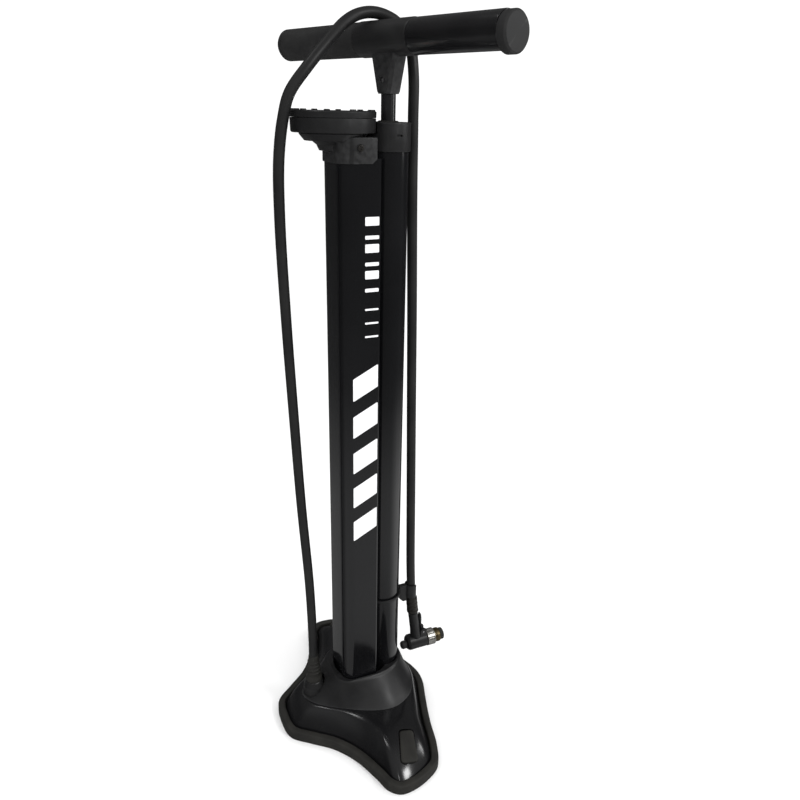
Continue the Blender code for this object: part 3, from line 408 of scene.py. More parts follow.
def placed(name, data, matrix=None):
    """A new object in the scene."""
    made = bpy.data.objects.new(name, data)
    bpy.context.scene.collection.objects.link(made)
    if matrix:
        made.matrix_world = matrix
    return made


def evaluated(holder):
    """The mesh of an object after its modifiers. The object is removed."""
    bpy.context.scene.collection.objects.link(holder)
    bpy.context.view_layer.update()
    graph = bpy.context.evaluated_depsgraph_get()
    mesh = bpy.data.meshes.new_from_object(holder.evaluated_get(graph), depsgraph=graph)
    bpy.data.objects.remove(holder, do_unlink=True)
    return mesh


def combined(mesh, steps):
    """The mesh after Booleans. Each step is (operation, tool mesh, the tool's matrix or None)."""
    holder = bpy.data.objects.new("work", mesh)
    tools = []
    for operation, tool, matrix in steps:
        helper = placed("tool", tool, matrix)
        cut = holder.modifiers.new("cut", "BOOLEAN")
        cut.operation = operation
        cut.solver = "EXACT"
        cut.object = helper
        tools.append(helper)
    result = evaluated(holder)
    for helper in tools:
        bpy.data.objects.remove(helper, do_unlink=True)
    return result


def box_mesh(low, high):
    """A box between two corners in mm."""
    mesh = bpy.data.meshes.new("box")
    work = bmesh.new()
    bmesh.ops.create_cube(work, size=1.0)
    low, high = np.array(low, float), np.array(high, float)
    bmesh.ops.scale(work, verts=work.verts, vec=(high - low) * MM)
    bmesh.ops.translate(work, verts=work.verts, vec=(high + low) / 2 * MM)
    work.to_mesh(mesh)
    work.free()
    return mesh


def shift(x, y, z):
    """The matrix of a move in mm."""
    return Matrix.Translation(Vector((x, y, z)) * MM)


def turn(angle, axis):
    """The matrix of a turn, in radians, about an axis through the origin."""
    return Matrix.Rotation(angle, 4, axis)


# stands a flat shape up: its x, y and z become Y, Z and X
UPRIGHT = Matrix(((0, 0, 1, 0), (1, 0, 0, 0), (0, 1, 0, 0), (0, 0, 0, 1)))


def piece(mesh, name, slot, body, *nodes, matrix=None, edge=0.0, paint=None, crease=35.0):
    """Show a mesh as a piece that rides on a body and stands for the CAD nodes."""
    made = placed(name, mesh, matrix)
    mesh.name = name
    mesh.materials.clear()
    mesh.materials.append(FINISHES[paint or slot])
    mesh.shade_smooth()
    mesh.set_sharp_from_angle(angle=math.radians(crease))
    if edge:
        bevel = made.modifiers.new("soft edges", "BEVEL")
        bevel.width = edge * MM
        bevel.segments = 3
        bevel.limit_method = "ANGLE"
        bevel.angle_limit = math.radians(35)
    if body:
        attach(made, body)
    if nodes:
        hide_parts(*nodes)
    return made


# ---- camera -------------------------------------------------------------------------------------
def camera():
    """The photograph's point of view: a little above the handle's height, close to the +X side."""
    data = bpy.data.cameras.new("camera")
    data.sensor_width = 36.0
    data.lens = 32.616
    data.clip_start = 0.01
    eye = placed("camera", data)
    place, target = Vector((0.5834, -0.2493, 0.6072)), Vector((0.0003, 0.0159, 0.3509))
    facing = (target - place).to_track_quat("-Z", "Y").to_matrix().to_4x4()
    eye.matrix_world = Matrix.Translation(place) @ facing @ Matrix.Rotation(math.radians(1.234), 4, "Z")
    bpy.context.scene.camera = eye


# ---- hose ---------------------------------------------------------------------------------------
HOSE_R = 4.5
# The hose leaves the boot, climbs in front of the gauge, lies over the handle beside the stem and
# hangs down behind the tube to its clip. Metres.
HOSE_ROUTE = [(0, -0.077, 0.0783), (0, -0.077, 0.1), (-0.0006, -0.0785, 0.165), (-0.003, -0.0833, 0.255),
              (-0.005, -0.087, 0.35), (-0.005, -0.0905, 0.44), (-0.003, -0.093, 0.525),
              (-0.002, -0.092, 0.57), (0.002, -0.0885, 0.6), (0.004, -0.0835, 0.6174),
              (0.0039, -0.0688, 0.6363), (-0.0019, -0.0523, 0.6526), (-0.013, -0.0309, 0.6709),
              (-0.0172, -0.0164, 0.6775), (-0.0177, -0.0031, 0.6785), (-0.0152, 0.0102, 0.674),
              (-0.0123, 0.018, 0.6665), (-0.0093, 0.0227, 0.6559), (-0.0058, 0.0246, 0.634),
              (-0.0046, 0.0246, 0.6), (-0.0038, 0.0253, 0.535), (-0.0024, 0.0272, 0.44),
              (-0.0011, 0.0286, 0.349), (0.0008, 0.0302, 0.24), (0.0017, 0.0315, 0.165),
              (0.002, 0.0326, 0.137), (0.002, 0.0331, 0.1232)]
HOSE_LINKS = 420


def between(t, start, end, first, last):
    """The place at t on the way from first, at start, to last, at end."""
    return (end - t) / (end - start) * first + (t - start) / (end - start) * last


def smooth_path(points, count, closed=False):
    """Even points along a centripetal Catmull-Rom curve through the given points."""
    given = [np.array(p, float) for p in points]
    if closed:
        given = [given[-1]] + given + given[:2]
    else:
        given = [2 * given[0] - given[1]] + given + [2 * given[-1] - given[-2]]
    dense = []
    for p0, p1, p2, p3 in zip(given, given[1:], given[2:], given[3:]):
        t0 = 0.0
        t1 = t0 + math.sqrt(np.linalg.norm(p1 - p0))
        t2 = t1 + math.sqrt(np.linalg.norm(p2 - p1))
        t3 = t2 + math.sqrt(np.linalg.norm(p3 - p2))
        for t in np.linspace(t1, t2, 24, endpoint=False):
            a1 = between(t, t0, t1, p0, p1)
            a2 = between(t, t1, t2, p1, p2)
            a3 = between(t, t2, t3, p2, p3)
            b1 = between(t, t0, t2, a1, a2)
            b2 = between(t, t1, t3, a2, a3)
            dense.append(between(t, t1, t2, b1, b2))
    dense.append(given[1] if closed else given[-2])
    dense = np.array(dense)
    run = np.concatenate([[0.0], np.cumsum(np.linalg.norm(np.diff(dense, axis=0), axis=1))])
    stops = np.linspace(0.0, run[-1], count + 1 if closed else count)
    if closed:
        stops = stops[:-1]
    return np.stack([np.interp(stops, run, dense[:, k]) for k in range(dense.shape[1])], axis=1)


def tube_rings(path, radius, sides):
    """Rings round a path of points in mm, without twist."""
    path = np.array(path, float)
    along = np.gradient(path, axis=0)
    along /= np.linalg.norm(along, axis=1)[:, None]
    side = np.cross(along[0], (0.0, 1.0, 0.0))
    side /= np.linalg.norm(side)
    rings = []
    for here, forward in zip(path, along):
        side = side - forward * (side @ forward)
        side /= np.linalg.norm(side)
        over = np.cross(forward, side)
        rings.append([here + radius * (side * math.cos(a) + over * math.sin(a))
                      for a in np.linspace(0.0, math.tau, sides, endpoint=False)])
    return rings


def hose():
    """The rubber hose between the boot and the hub."""
    path = smooth_path(HOSE_ROUTE, HOSE_LINKS)
    mesh = skin(tube_rings(path / MM, HOSE_R, 24))
    made = piece(mesh, "air_hose", "hose_rubber", None, "hose", crease=60.0)
    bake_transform(made)
    return made, path


# ---- base ---------------------------------------------------------------------------------------
BASE_POINTS = 224
BASE_CENTRE = np.array([0.0, -20.0])
# half outlines, from the front round the +X side to the back
FLOOR_HALF = [(0, -114), (23, -110.5), (39, -93.4), (55.5, -74), (78, -58.5), (105, -47.8), (121, -42.5),
              (129.8, -33), (130.5, -21), (126, -4), (116, 13), (96, 22), (65, 29.5), (33, 39.5),
              (13, 46.3), (0, 48)]
COLLAR_FOOT_HALF = [(0, -90), (16, -82), (36, -55), (51, -24), (53, -4), (42, 16), (22, 27), (0, 30.5)]
COLLAR_TOP_HALF = [(0, -58.5), (17, -58), (26.5, -50), (28, -38), (28, -12), (24, 2), (15, 14),
                   (0, 20.3)]
RIM_WIDTH = 7.6
RIM_HEIGHT = 10.0
PAN_EDGE_Z = 6.0
COLLAR_FOOT_Z = 29.0
COLLAR_TOP_Z = 55.0
SHELL_WALL = 2.6
GLAND_Y = -77.0
GLAND_R = 11.0
PAD_HALF_LENGTH = 16.5
PAD_HALF_WIDTH = 8.6
PAD_FLOOR = 18.8


def outline_points(half, count=BASE_POINTS):
    """A closed smooth outline from a half outline whose ends lie on X = 0."""
    return smooth_path(half + [(-x, y) for x, y in half[-2:0:-1]], count, closed=True)


def rays(angles):
    """A unit vector in the plane for each angle."""
    return np.stack([np.cos(angles), np.sin(angles)], axis=1)


def reach_of(points, angles):
    """How far an outline lies from the origin at the given angles."""
    own = np.arctan2(points[:, 1], points[:, 0])
    order = np.argsort(own)
    return np.interp(angles, own[order], np.linalg.norm(points, axis=1)[order], period=math.tau)


def matched(half, angles):
    """The points of an outline that lie at the given angles round the base centre."""
    dense = outline_points(half, 1440) - BASE_CENTRE
    return BASE_CENTRE + rays(angles) * reach_of(dense, angles)[:, None]


def neck_outline():
    """Where the collar closes in on the tank and the tube, a hair away from them."""
    own = TANK_HIGH[0] + 0.4
    tank = np.array(rounded_rect(own, TANK_LOW[1] - 0.4, TANK_HIGH[1], 11.9, 1.0, 60)) - BASE_CENTRE
    tube = np.array(arc(0, 0, TUBE_R + 0.4, -180, 180, 720)) - BASE_CENTRE
    limit = np.linalg.norm(inset(COLLAR_TOP, 2.1) - BASE_CENTRE, axis=1)
    reach = np.minimum(np.maximum(reach_of(tank, ANGLES), reach_of(tube, ANGLES)), limit)
    return BASE_CENTRE + rays(ANGLES) * reach[:, None]


FLOOR = outline_points(FLOOR_HALF)
PAN_EDGE = inset(FLOOR, RIM_WIDTH + GAP)
ANGLES = np.arctan2(*(PAN_EDGE - BASE_CENTRE).T[::-1])
COLLAR_FOOT = matched(COLLAR_FOOT_HALF, ANGLES)
COLLAR_TOP = matched(COLLAR_TOP_HALF, ANGLES)
NECK = neck_outline()
PAN_REACH = np.linalg.norm(COLLAR_FOOT - PAN_EDGE, axis=1)
PAN_SWELL = 1.2 + 1.6 * np.minimum(PAN_REACH / 50.0, 1.0)   # its lobes are the fullest


def rim():
    """The thick rubber edge all round the foot."""
    section = soften([(0.0, 0.0), (0.0, RIM_HEIGHT), (RIM_WIDTH, RIM_HEIGHT), (RIM_WIDTH, 0.0)],
                     [0.5, 3.0, 2.0, 0.5])
    rings = [lifted(inset(FLOOR, depth), height) for depth, height in section]
    piece(skin(rings, True), "rim_moulding", "rubber_black", "root", "base_rim")


def pan_ring(share, drop=0.0):
    """A ring of the pan's skin, from its edge (0) to the collar's foot (1)."""
    points = PAN_EDGE + (COLLAR_FOOT - PAN_EDGE) * share
    rise = 1.0 - (1.0 - share) ** PAN_SWELL
    return lifted(points, PAN_EDGE_Z + (COLLAR_FOOT_Z - PAN_EDGE_Z) * rise - drop)


def pad_matrix(side):
    """Where a side pad sits: it follows the lobe down and outwards."""
    return (shift(side * 97.0, -11.5, PAD_FLOOR) @ turn(side * math.radians(-17), "Z")
            @ turn(side * math.radians(14), "Y"))


def pad_outline(grow=0.0):
    """The rounded outline of a side pad, made larger by grow all round."""
    length, width = PAD_HALF_LENGTH + grow, PAD_HALF_WIDTH + grow
    return soften([(-length, 1.4 - width), (length, -width), (length, width), (-length, width - 1.4)],
                  4.6 + grow, 8)


def pan():
    """The glossy sculpted foot, with a recess for each side pad and a hole for the hose gland."""
    rings = [pan_ring(share) for share in np.linspace(0.0, 1.0, 26) ** 1.5]
    inner_foot = BASE_CENTRE + (COLLAR_FOOT - BASE_CENTRE) * 0.90
    rings += [lifted(inner_foot, COLLAR_FOOT_Z), lifted(inner_foot, COLLAR_FOOT_Z - 4.5)]
    rings += [pan_ring(share, drop=SHELL_WALL + 0.6) for share in (0.64, 0.4, 0.22, 0.1)]
    rings += [lifted(inset(PAN_EDGE, 2.4), 2.9), lifted(PAN_EDGE, 2.9)]
    steps = [("DIFFERENCE", flat_shape([pad_outline(0.7)], 0.0, 12.0), pad_matrix(side))
             for side in (-1, 1)]
    steps.append(("DIFFERENCE", cutter(GLAND_R + GAP, 20, 60), shift(0, GLAND_Y, 0)))
    mesh = combined(skin(rings, True), steps)
    piece(mesh, "pan_moulding", "gloss_black", "root", "base_pan", crease=50.0)


def pads():
    """The matte pads let into the side lobes, a little crowned."""
    for side, word in ((1, "right"), (-1, "left")):
        rings = [lifted(inset(pad_outline(), depth), height)
                 for depth, height in ((0.2, GAP), (0.0, 0.6), (0.0, 2.1), (0.2, 2.7), (0.6, 3.05),
                                       (1.2, 3.25), (2.0, 3.4))]
        piece(skin(rings), "pad_insert_" + word, "rubber_black", "root", "foot_pad_" + word,
              matrix=pad_matrix(side), crease=50.0)


def collar():
    """The satin cone from the pan up to the barrel, with a rolled top edge."""
    rings = []
    for share in np.linspace(0.0, 0.96, 16):
        height = COLLAR_FOOT_Z + GAP + (COLLAR_TOP_Z - COLLAR_FOOT_Z - GAP) * share ** 1.15
        rings.append(lifted(COLLAR_FOOT + (COLLAR_TOP - COLLAR_FOOT) * share, height))
    for angle in np.linspace(0.25, 1.0, 5) * math.pi / 2:
        rings.append(lifted(inset(COLLAR_TOP, 1.1 * (1 - math.cos(angle))),
                            COLLAR_TOP_Z - 1.1 * (1 - math.sin(angle))))
    inner_foot = BASE_CENTRE + (COLLAR_FOOT - BASE_CENTRE) * 0.92
    for outline, height in ((inset(COLLAR_TOP, 2.0), COLLAR_TOP_Z), (NECK, COLLAR_TOP_Z - 0.8),
                            (NECK, COLLAR_TOP_Z - 2.4), (inset(COLLAR_TOP, 2.3), COLLAR_TOP_Z - 3.2),
                            (inner_foot, COLLAR_FOOT_Z + GAP)):
        rings.append(lifted(outline, height))
    hole = ("DIFFERENCE", cutter(GLAND_R + GAP, 20, 70), shift(0, GLAND_Y, 0))
    mesh = combined(skin(rings, True), [hole])
    piece(mesh, "collar_cover", "satin_black", "root", "base_collar", crease=40.0)


def gland():
    """The nut and the tapered rubber boot where the hose leaves the foot."""
    here = shift(0, GLAND_Y, 0)
    nut = soften([(5.6, 47.0), (7.6, 47.0), (8.6, 46.0), (GLAND_R, 41.0), (GLAND_R, 26.0), (3.4, 26.0),
                  (3.4, 34.0), (2.6, 34.0), (2.6, 40.0), (5.6, 40.0)], 0.5, 4)
    piece(revolve(nut), "gland_nut", "satin_black", "root", "hose_gland", matrix=here)
    side = [(5.0, 77.4), (5.3, 74.0)]
    for rib in range(4):
        top = 71.5 - 4.2 * rib
        radius = 5.5 + 0.42 * rib
        side += [(radius + 0.1, top), (radius + 0.75, top - 0.7), (radius + 0.85, top - 2.0),
                 (radius + 0.2, top - 2.8)]
    side += [(7.2, 53.5), (8.4, 50.6), (8.6, 48.0), (7.9, 47.3), (3.0, 47.3), (3.0, 78.0), (4.7, 78.0)]
    piece(revolve(soften(side, 0.6, 4), SMALL), "hose_relief", "rubber_black", "root",
          "hose_boot", matrix=here)


# ---- barrel -------------------------------------------------------------------------------------
TUBE_BORE_R = 15.2
TANK_HALF_W = TANK_HIGH[0]
TANK_FRONT = TANK_LOW[1]
TANK_BACK = -15.0
TANK_CORNER = 11.5
TANK_REAR_CORNER = 2.2
TANK_WALL = 1.8
TANK_REAR_WALL = 3.8


def pump_tube():
    """The painted pump tube, open for the piston."""
    mesh = pipe(TUBE_BORE_R, TUBE_R, TUBE_LOW[2], TUBE_HIGH[2], 0.4, sides=FINE)
    piece(mesh, "barrel_tube", "barrel_paint", "root", "pump_tube")


def tank():
    """The flat-sided tank, hollowed for air and scooped where the pump tube lies against it."""
    outer = rounded_rect(TANK_HALF_W, TANK_FRONT, TANK_BACK, TANK_CORNER, TANK_REAR_CORNER, 20)
    inner = rounded_rect(TANK_HALF_W - TANK_WALL, TANK_FRONT + TANK_WALL, TANK_BACK - TANK_REAR_WALL,
                         TANK_CORNER - TANK_WALL, 3.0, 20)
    low, high = TANK_LOW[2], TANK_HIGH[2]
    rings = [lifted(inner, low), lifted(outer, low), lifted(outer, high), lifted(inner, high)]
    scoop = ("DIFFERENCE", cutter(TUBE_R + GAP, 0, 600, FINE), None)
    mesh = combined(skin(rings, True), [scoop])
    piece(mesh, "tank_casing", "barrel_paint", "root", "tank_shell", crease=30.0)


GRAPHIC_DEPTH = 0.12
GRAPHIC_FRONT = -40.6         # the printed field on the tank's flat side, along Y
GRAPHIC_BACK = -17.2
FIELD_FRONT = -29.5           # the fine bars start here


def bar(outline):
    """A printed bar on the tank's +X side. The outline is (y, z) points."""
    face = TANK_HALF_W + 0.02
    return flat_shape([soften(outline, 0.8, 4)], face, face + GRAPHIC_DEPTH)


def slanted(front, back, low, height, slant):
    """A bar whose two long edges rise by slant from the front to the back."""
    return bar([(front, low), (back, low + slant), (back, low + slant + height), (front, low + height)])


def graphic():
    """Plain white bars in place of the lettering: a bold slanted set and a fine set above it."""
    shapes = []
    for number in range(5):
        shapes.append(slanted(GRAPHIC_FRONT, GRAPHIC_BACK, 222.0 + 36.0 * number, 21.0, 12.0))
    for number in range(6):
        tall = 7.0 if number % 2 else 3.0
        shapes.append(slanted(FIELD_FRONT, GRAPHIC_BACK, 464.0 + 11.0 * number, tall, 0.0))
    for number in range(3):
        shapes.append(slanted(FIELD_FRONT, GRAPHIC_BACK, 424.0 + 12.0 * number, 1.6, 0.0))
    piece(joined(shapes), "tank_graphic", "white_plastic", "root", matrix=UPRIGHT, paint="graphic")


# ---- caps ---------------------------------------------------------------------------------------
CAP_LINE = -19.5
CAP_HALF_W = 25.8
CAP_LOW = 567.0
CAP_HIGH = 587.0
TUBE_CAP_R = 19.0
TUBE_CAP_LOW = 575.5
TUBE_CAP_HIGH = 598.0
SCREW_YZ = (-34.0, 579.0)
PORT_R = 4.7                  # the air way up into the gauge head
HEAD_BOTTOM = CASE_LOW[2]
HEAD_R = BEZEL_HIGH[0]


def top_cap():
    """The moulding over the tank, with the bowl that carries the gauge head."""
    outline = rounded_rect(CAP_HALF_W, -51.8, CAP_LINE, 12.6, 0.9, 16)
    body = pillow(outline, CAP_LOW, CAP_HIGH, 0.8)
    rim_z = HEAD_BOTTOM - GAP
    bowl = turned([(0, rim_z), (27.4, rim_z), (27.4, rim_z - 0.8), (23.2, rim_z - 5.8),
                   (17.0, rim_z - 6.2), (13.5, rim_z - 9.0), (11.5, 576.0), (6.6, 575.4),
                   (6.2, 572.6), (0, 572.6)], 0.6, 3)
    pocket = rounded_rect(TANK_HALF_W + GAP, TANK_FRONT - GAP, TANK_BACK + GAP, TANK_CORNER + GAP,
                          TANK_REAR_CORNER + GAP)
    chamfer = shift(0, -24.8, 566.2) @ turn(math.radians(42), "X")
    mesh = combined(body, [
        ("UNION", bowl, shift(*GAUGE)),
        ("DIFFERENCE", flat_shape([pocket], 560.0, TANK_HIGH[2] + GAP), None),
        ("DIFFERENCE", cutter(PORT_R, 574, 600, SMALL), shift(*GAUGE)),
        ("DIFFERENCE", box_mesh((-40, 0, -30), (40, 30, 0)), chamfer),
    ])
    piece(mesh, "tank_cap", "satin_black", "root", "top_cap", edge=0.35)


def tube_cap():
    """The screwed cap of the pump tube, hollowed for the gauge head."""
    section = soften([(10.4, TUBE_CAP_HIGH), (TUBE_CAP_R, TUBE_CAP_HIGH), (TUBE_CAP_R, TUBE_CAP_LOW),
                      (TUBE_R + GAP, TUBE_CAP_LOW), (TUBE_R + GAP, TUBE_HIGH[2] + GAP),
                      (10.4, TUBE_HIGH[2] + GAP)], [0.5, 1.3, 0.6, 0.3, 0.3, 0.3], 5)
    slot = box_mesh((17.4, -2.6, 587.2), (22.0, 2.6, 588.8))
    mesh = combined(revolve(section, FINE), [
        ("DIFFERENCE", cutter(HEAD_R + 0.5, HEAD_BOTTOM - GAP, 620, FINE), shift(*GAUGE)),
        ("DIFFERENCE", slot, turn(math.radians(8), "Z"))])
    piece(mesh, "screw_cap", "satin_black", "root", "tube_cap", edge=0.25)


def cap_trim():
    """The wiper round the rod and the dark side screw with its cross slot."""
    wiper = soften([(ROD_R + GAP, 599.0), (7.6, 599.0), (10.1, 597.4), (10.1, 593.8),
                    (ROD_R + GAP, 593.8)], 0.4, 3)
    piece(revolve(wiper), "rod_seal", "rubber_black", "root", "rod_wiper")
    face = CAP_HALF_W + GAP
    head = turned([(0, face + 1.3), (2.2, face + 1.3), (2.8, face + 0.7), (2.8, face),
                   (1.4, face), (1.4, face - 1.9), (0, face - 1.9)], 0.3, 3, SMALL)
    slots = [("DIFFERENCE", box_mesh((-0.35, -1.7, face + 0.7), (0.35, 1.7, face + 2)), turn(angle, "Z"))
             for angle in (0.4, 0.4 + math.pi / 2)]
    piece(combined(head, slots), "side_screw", "gunmetal", "root", "cap_screw",
          matrix=shift(0, *SCREW_YZ) @ turn(math.pi / 2, "Y"))


# ---- gauge --------------------------------------------------------------------------------------
HEAD_LUGS = 10
JOINT_Z = BEZEL_LOW[2] - GAP
HEAD_TOP = 606.0
SCALE_START = math.radians(45)
SCALE_SWEEP = math.radians(270)
SCALE_STEPS = 60
SCALE_NUMBERS = 12


def gauge_body():
    """The case and the lugged bezel of the gauge head."""
    here = shift(*GAUGE)
    case = soften([(30.9, JOINT_Z + 1.6), (31.3, JOINT_Z + 1.6), (31.3, JOINT_Z), (34.2, JOINT_Z),
                   (33.8, HEAD_BOTTOM + 0.9), (33.0, HEAD_BOTTOM), (PORT_R, HEAD_BOTTOM),
                   (PORT_R, HEAD_BOTTOM + 2.0), (30.9, HEAD_BOTTOM + 2.0)], 0.15, 3)
    piece(revolve(case, FINE), "gauge_housing", "satin_black", "selector_head",
          "gauge_case", matrix=here)
    bezel = soften([(29.6, HEAD_TOP), (33.6, HEAD_TOP), (HEAD_R, HEAD_TOP - 1.0),
                    (HEAD_R - 0.2, JOINT_Z + GAP), (31.6, JOINT_Z + GAP), (31.6, HEAD_TOP - 1.8),
                    (29.6, HEAD_TOP - 1.4)], 0.4, 3)
    lugs = []
    for number in range(HEAD_LUGS):
        angle = math.tau * (number + 0.25) / HEAD_LUGS
        lug = pillow(soften([(30.6, -2.2), (34.0, -2.2), (34.0, 2.2), (30.6, 2.2)], 0.8, 4),
                     HEAD_TOP - 1.2, HEAD_TOP + 0.9, 0.45)
        lugs.append(("UNION", lug, turn(angle, "Z")))
    ring = combined(revolve(bezel, FINE), lugs)
    piece(ring, "gauge_ring", "satin_black", "selector_head", "gauge_bezel", matrix=here)


def dial_angle(share):
    """The direction on the dial, for a share of the scale: it runs clockwise seen from above."""
    return SCALE_START - SCALE_SWEEP * share


def scale_print():
    """The scale's marks, its two circles and its numbers, a hair above the dial."""
    low, high = DIAL_Z + 0.02, DIAL_Z + 0.08
    shapes = []
    for number in range(SCALE_STEPS + 1):
        length, half = (2.8, 0.16) if number % 5 else (5.0, 0.35)
        mark = box_mesh((27.6 - length, -half, low), (27.6, half, high))
        mark.transform(turn(dial_angle(number / SCALE_STEPS), "Z"))
        shapes.append(mark)
    for outer, inner in ((28.6, 28.2), (16.4, 16.1)):
        shapes.append(revolve([(inner, high), (outer, high), (outer, low), (inner, low)]))
    for number in range(0, SCALE_NUMBERS + 1, 2):
        angle = dial_angle(number / SCALE_NUMBERS)
        text = bpy.data.curves.new("number", "FONT")
        text.body = str(number)
        text.size = 5.0 * MM
        text.align_x = text.align_y = "CENTER"
        text.extrude = 0.03 * MM
        figure = evaluated(bpy.data.objects.new("number", text))
        place = shift(19.4 * math.cos(angle), 19.4 * math.sin(angle), DIAL_Z + 0.05)
        figure.transform(place @ turn(math.pi, "Z"))
        shapes.append(figure)
    return joined(shapes)


def gauge_face():
    """The white dial with its printed scale, the clear lens and the red needle."""
    here = shift(*GAUGE)
    piece(pipe(1.6, 30.6, DIAL_Z - 0.8, DIAL_Z, 0.15, 2), "dial_plate", "white_plastic",
          "selector_head", "gauge_dial", matrix=here)
    piece(scale_print(), "dial_scale", "satin_black", "selector_head", matrix=here, paint="dial_print")
    lens_z = HEAD_TOP - 1.6
    dome = turned([(0, lens_z), (20, lens_z - 0.2), (31.0, lens_z - 1.1),
                   (31.0, lens_z - 2.4), (0, lens_z - 1.6)], 0.5)
    window = piece(dome, "gauge_window", "lens_clear", "selector_head", "gauge_lens", matrix=here)
    window.visible_shadow = False
    blade = soften([(-1.2, -7), (1.2, -7), (1.5, 0), (0.35, 24.5), (-0.35, 24.5), (-1.5, 0)], 0.3, 3)
    hub = turned([(0, DIAL_Z + 2.6), (3.0, DIAL_Z + 2.6), (3.0, DIAL_Z + 0.8),
                  (0.9, DIAL_Z + 0.8), (0.9, DIAL_Z - 0.8), (0, DIAL_Z - 0.8)], 0.4, 4, SMALL)
    mesh = combined(flat_shape([blade], DIAL_Z + 1.4, DIAL_Z + 2.0, 0.1),
                    [("UNION", hub, None)])
    piece(mesh, "pointer", "needle_red", "needle", "gauge_needle",
          matrix=here @ turn(math.radians(315), "Z"))


# ---- rod and handle -----------------------------------------------------------------------------
HUB_HALF = 30.0
HUB_R = 13.5
GRIP_R = 13.1
CORE_R = 9.5
ROD_BORE_R = 4.8
PIN_R = 2.0
PIN_Z = 629.0
HANDLE_LEFT = 135.5
HANDLE_RIGHT = 126.5


def along_handle(drop=0.0):
    """The matrix that turns Z into the direction of the handle."""
    return shift(0, 0, HANDLE_Z - drop) @ turn(HANDLE_YAW, "Z") @ turn(math.pi / 2, "Y")


def across_handle():
    """The matrix that turns Z into the direction of the stem's pin."""
    return shift(0, 0, PIN_Z) @ turn(HANDLE_YAW, "Z") @ turn(math.pi / 2, "X")


def pin_hole():
    """The step that drills the hole of the stem's pin."""
    return "DIFFERENCE", cutter(PIN_R + GAP, -30, 30, SMALL), across_handle()


def rod():
    """The black piston rod, a tube."""
    mesh = pipe(ROD_BORE_R, ROD_R, ROD_LOW[2], ROD_HIGH[2], 0.3)
    piece(combined(mesh, [pin_hole()]), "rod_tube", "rod_black", "handle", "piston_rod")


def stem():
    """The tapered stem with flat chamfers and the sleeve that holds the handle."""
    rings = []
    for height, half_length, half_width, cut in ((619.0, 6.9, 6.9, 2.2), (621.0, 8.0, 7.4, 2.4),
                                                 (645.0, 13.8, 7.6, 2.4), (652.0, 14.8, 7.6, 2.4)):
        corner = [(half_length, half_width - cut), (half_length - cut, half_width)]
        half = corner + [(-x, y) for x, y in corner[::-1]]
        rings.append([(x, y, height) for x, y in half + [(-x, -y) for x, y in half]])
    sleeve = turned([(0, -HUB_HALF), (HUB_R, -HUB_HALF), (HUB_R, HUB_HALF), (0, HUB_HALF)], 0.8)
    cone = skin(rings)
    cone.transform(turn(HANDLE_YAW, "Z"))
    mesh = combined(cone, [
        ("UNION", sleeve, along_handle()),
        ("DIFFERENCE", cutter(CORE_R + GAP, -60, 60), along_handle()),
        ("DIFFERENCE", cutter(ROD_R + GAP, 600, 641.6), None),
        pin_hole(),
    ])
    piece(mesh, "stem_moulding", "matte_black", "handle", "handle_stem", edge=0.45, paint="satin_black")


def grips():
    """The two grips on the core tube and their unlike end caps."""
    right = HANDLE_RIGHT - 9.0
    left = 7.0 - HANDLE_LEFT
    inner = CORE_R + GAP
    turn_to = along_handle()
    for name, slot, node, low, high in (
            ("grip_sleeve_right", "gloss_black", "grip_right", HUB_HALF + GAP, right),
            ("grip_sleeve_left", "matte_black", "grip_left", left, -HUB_HALF - GAP)):
        piece(pipe(inner, GRIP_R, low, high, 0.7, 4), name, slot, "handle", node, matrix=turn_to)
    edge = HANDLE_RIGHT
    cap = turned([(0, edge), (12.6, edge), (14.1, edge - 1.5), (14.1, right + 1.2), (13.2, right + GAP),
                  (6.2, right + GAP), (6.2, right - 6.0), (0, right - 6.0)], 0.5)
    piece(cap, "handle_cap_right", "matte_black", "handle", "end_cap_right", matrix=along_handle(1.6))
    edge = -HANDLE_LEFT
    cap = turned([(0, left + 6.0), (7.6, left + 6.0), (7.6, left - GAP), (GRIP_R, left - GAP),
                  (GRIP_R, edge + 4.0), (11.4, edge + 1.2), (9.0, edge), (0, edge)], 1.2, 5)
    piece(cap, "handle_cap_left", "matte_black", "handle", "end_cap_left", matrix=turn_to)
    pin = turned([(0, 6.6), (PIN_R, 6.6), (PIN_R, -6.6), (0, -6.6)], 0.4, 3, SMALL)
    piece(pin, "cross_pin", "steel", "handle", "stem_pin", matrix=across_handle())


# ---- clip and chuck -----------------------------------------------------------------------------
HOSE_X = 2.0
JAW_Y = 32.4
FERRULE_TOP = 122.8
CHUCK_AXIS = shift(*CHUCK) @ turn(-math.pi / 2, "X")     # turns Z into the chuck's own direction, +Y


def clip():
    """A strap round the pump tube with a webbed arm and an open jaw for the hose."""
    strap = arc(0, 0, TUBE_R + 2.2, -48, 228, 64) + arc(0, 0, TUBE_R + GAP, 228, -48, 64)
    mesh = flat_shape([strap], 134.6, 137.4, 0.35)
    near, top = TUBE_R + 1.0, CLIP_HIGH[2]
    arm = [(near, 134.8), (near, 124.0), (22.5, 119.5), (26.6, 119.5), (26.6, top), (near, top)]
    web = flat_shape([soften(arm, 1.0, 4)], -2.6, 2.6, 0.4)
    jaw = arc(HOSE_X, JAW_Y, 6.6, -220, 40, 40) + arc(HOSE_X, JAW_Y, HOSE_R + 0.6, 40, -220, 40)
    holder = flat_shape([soften(jaw, 0.3, 3)], 123.6, CLIP_HIGH[2] - 0.4, 0.25)
    mesh = combined(mesh, [("UNION", web, shift(HOSE_X, 0, 0) @ UPRIGHT), ("UNION", holder, None)])
    piece(mesh, "hose_holder", "matte_black", "root", "hose_clip", crease=40.0, paint="satin_black")


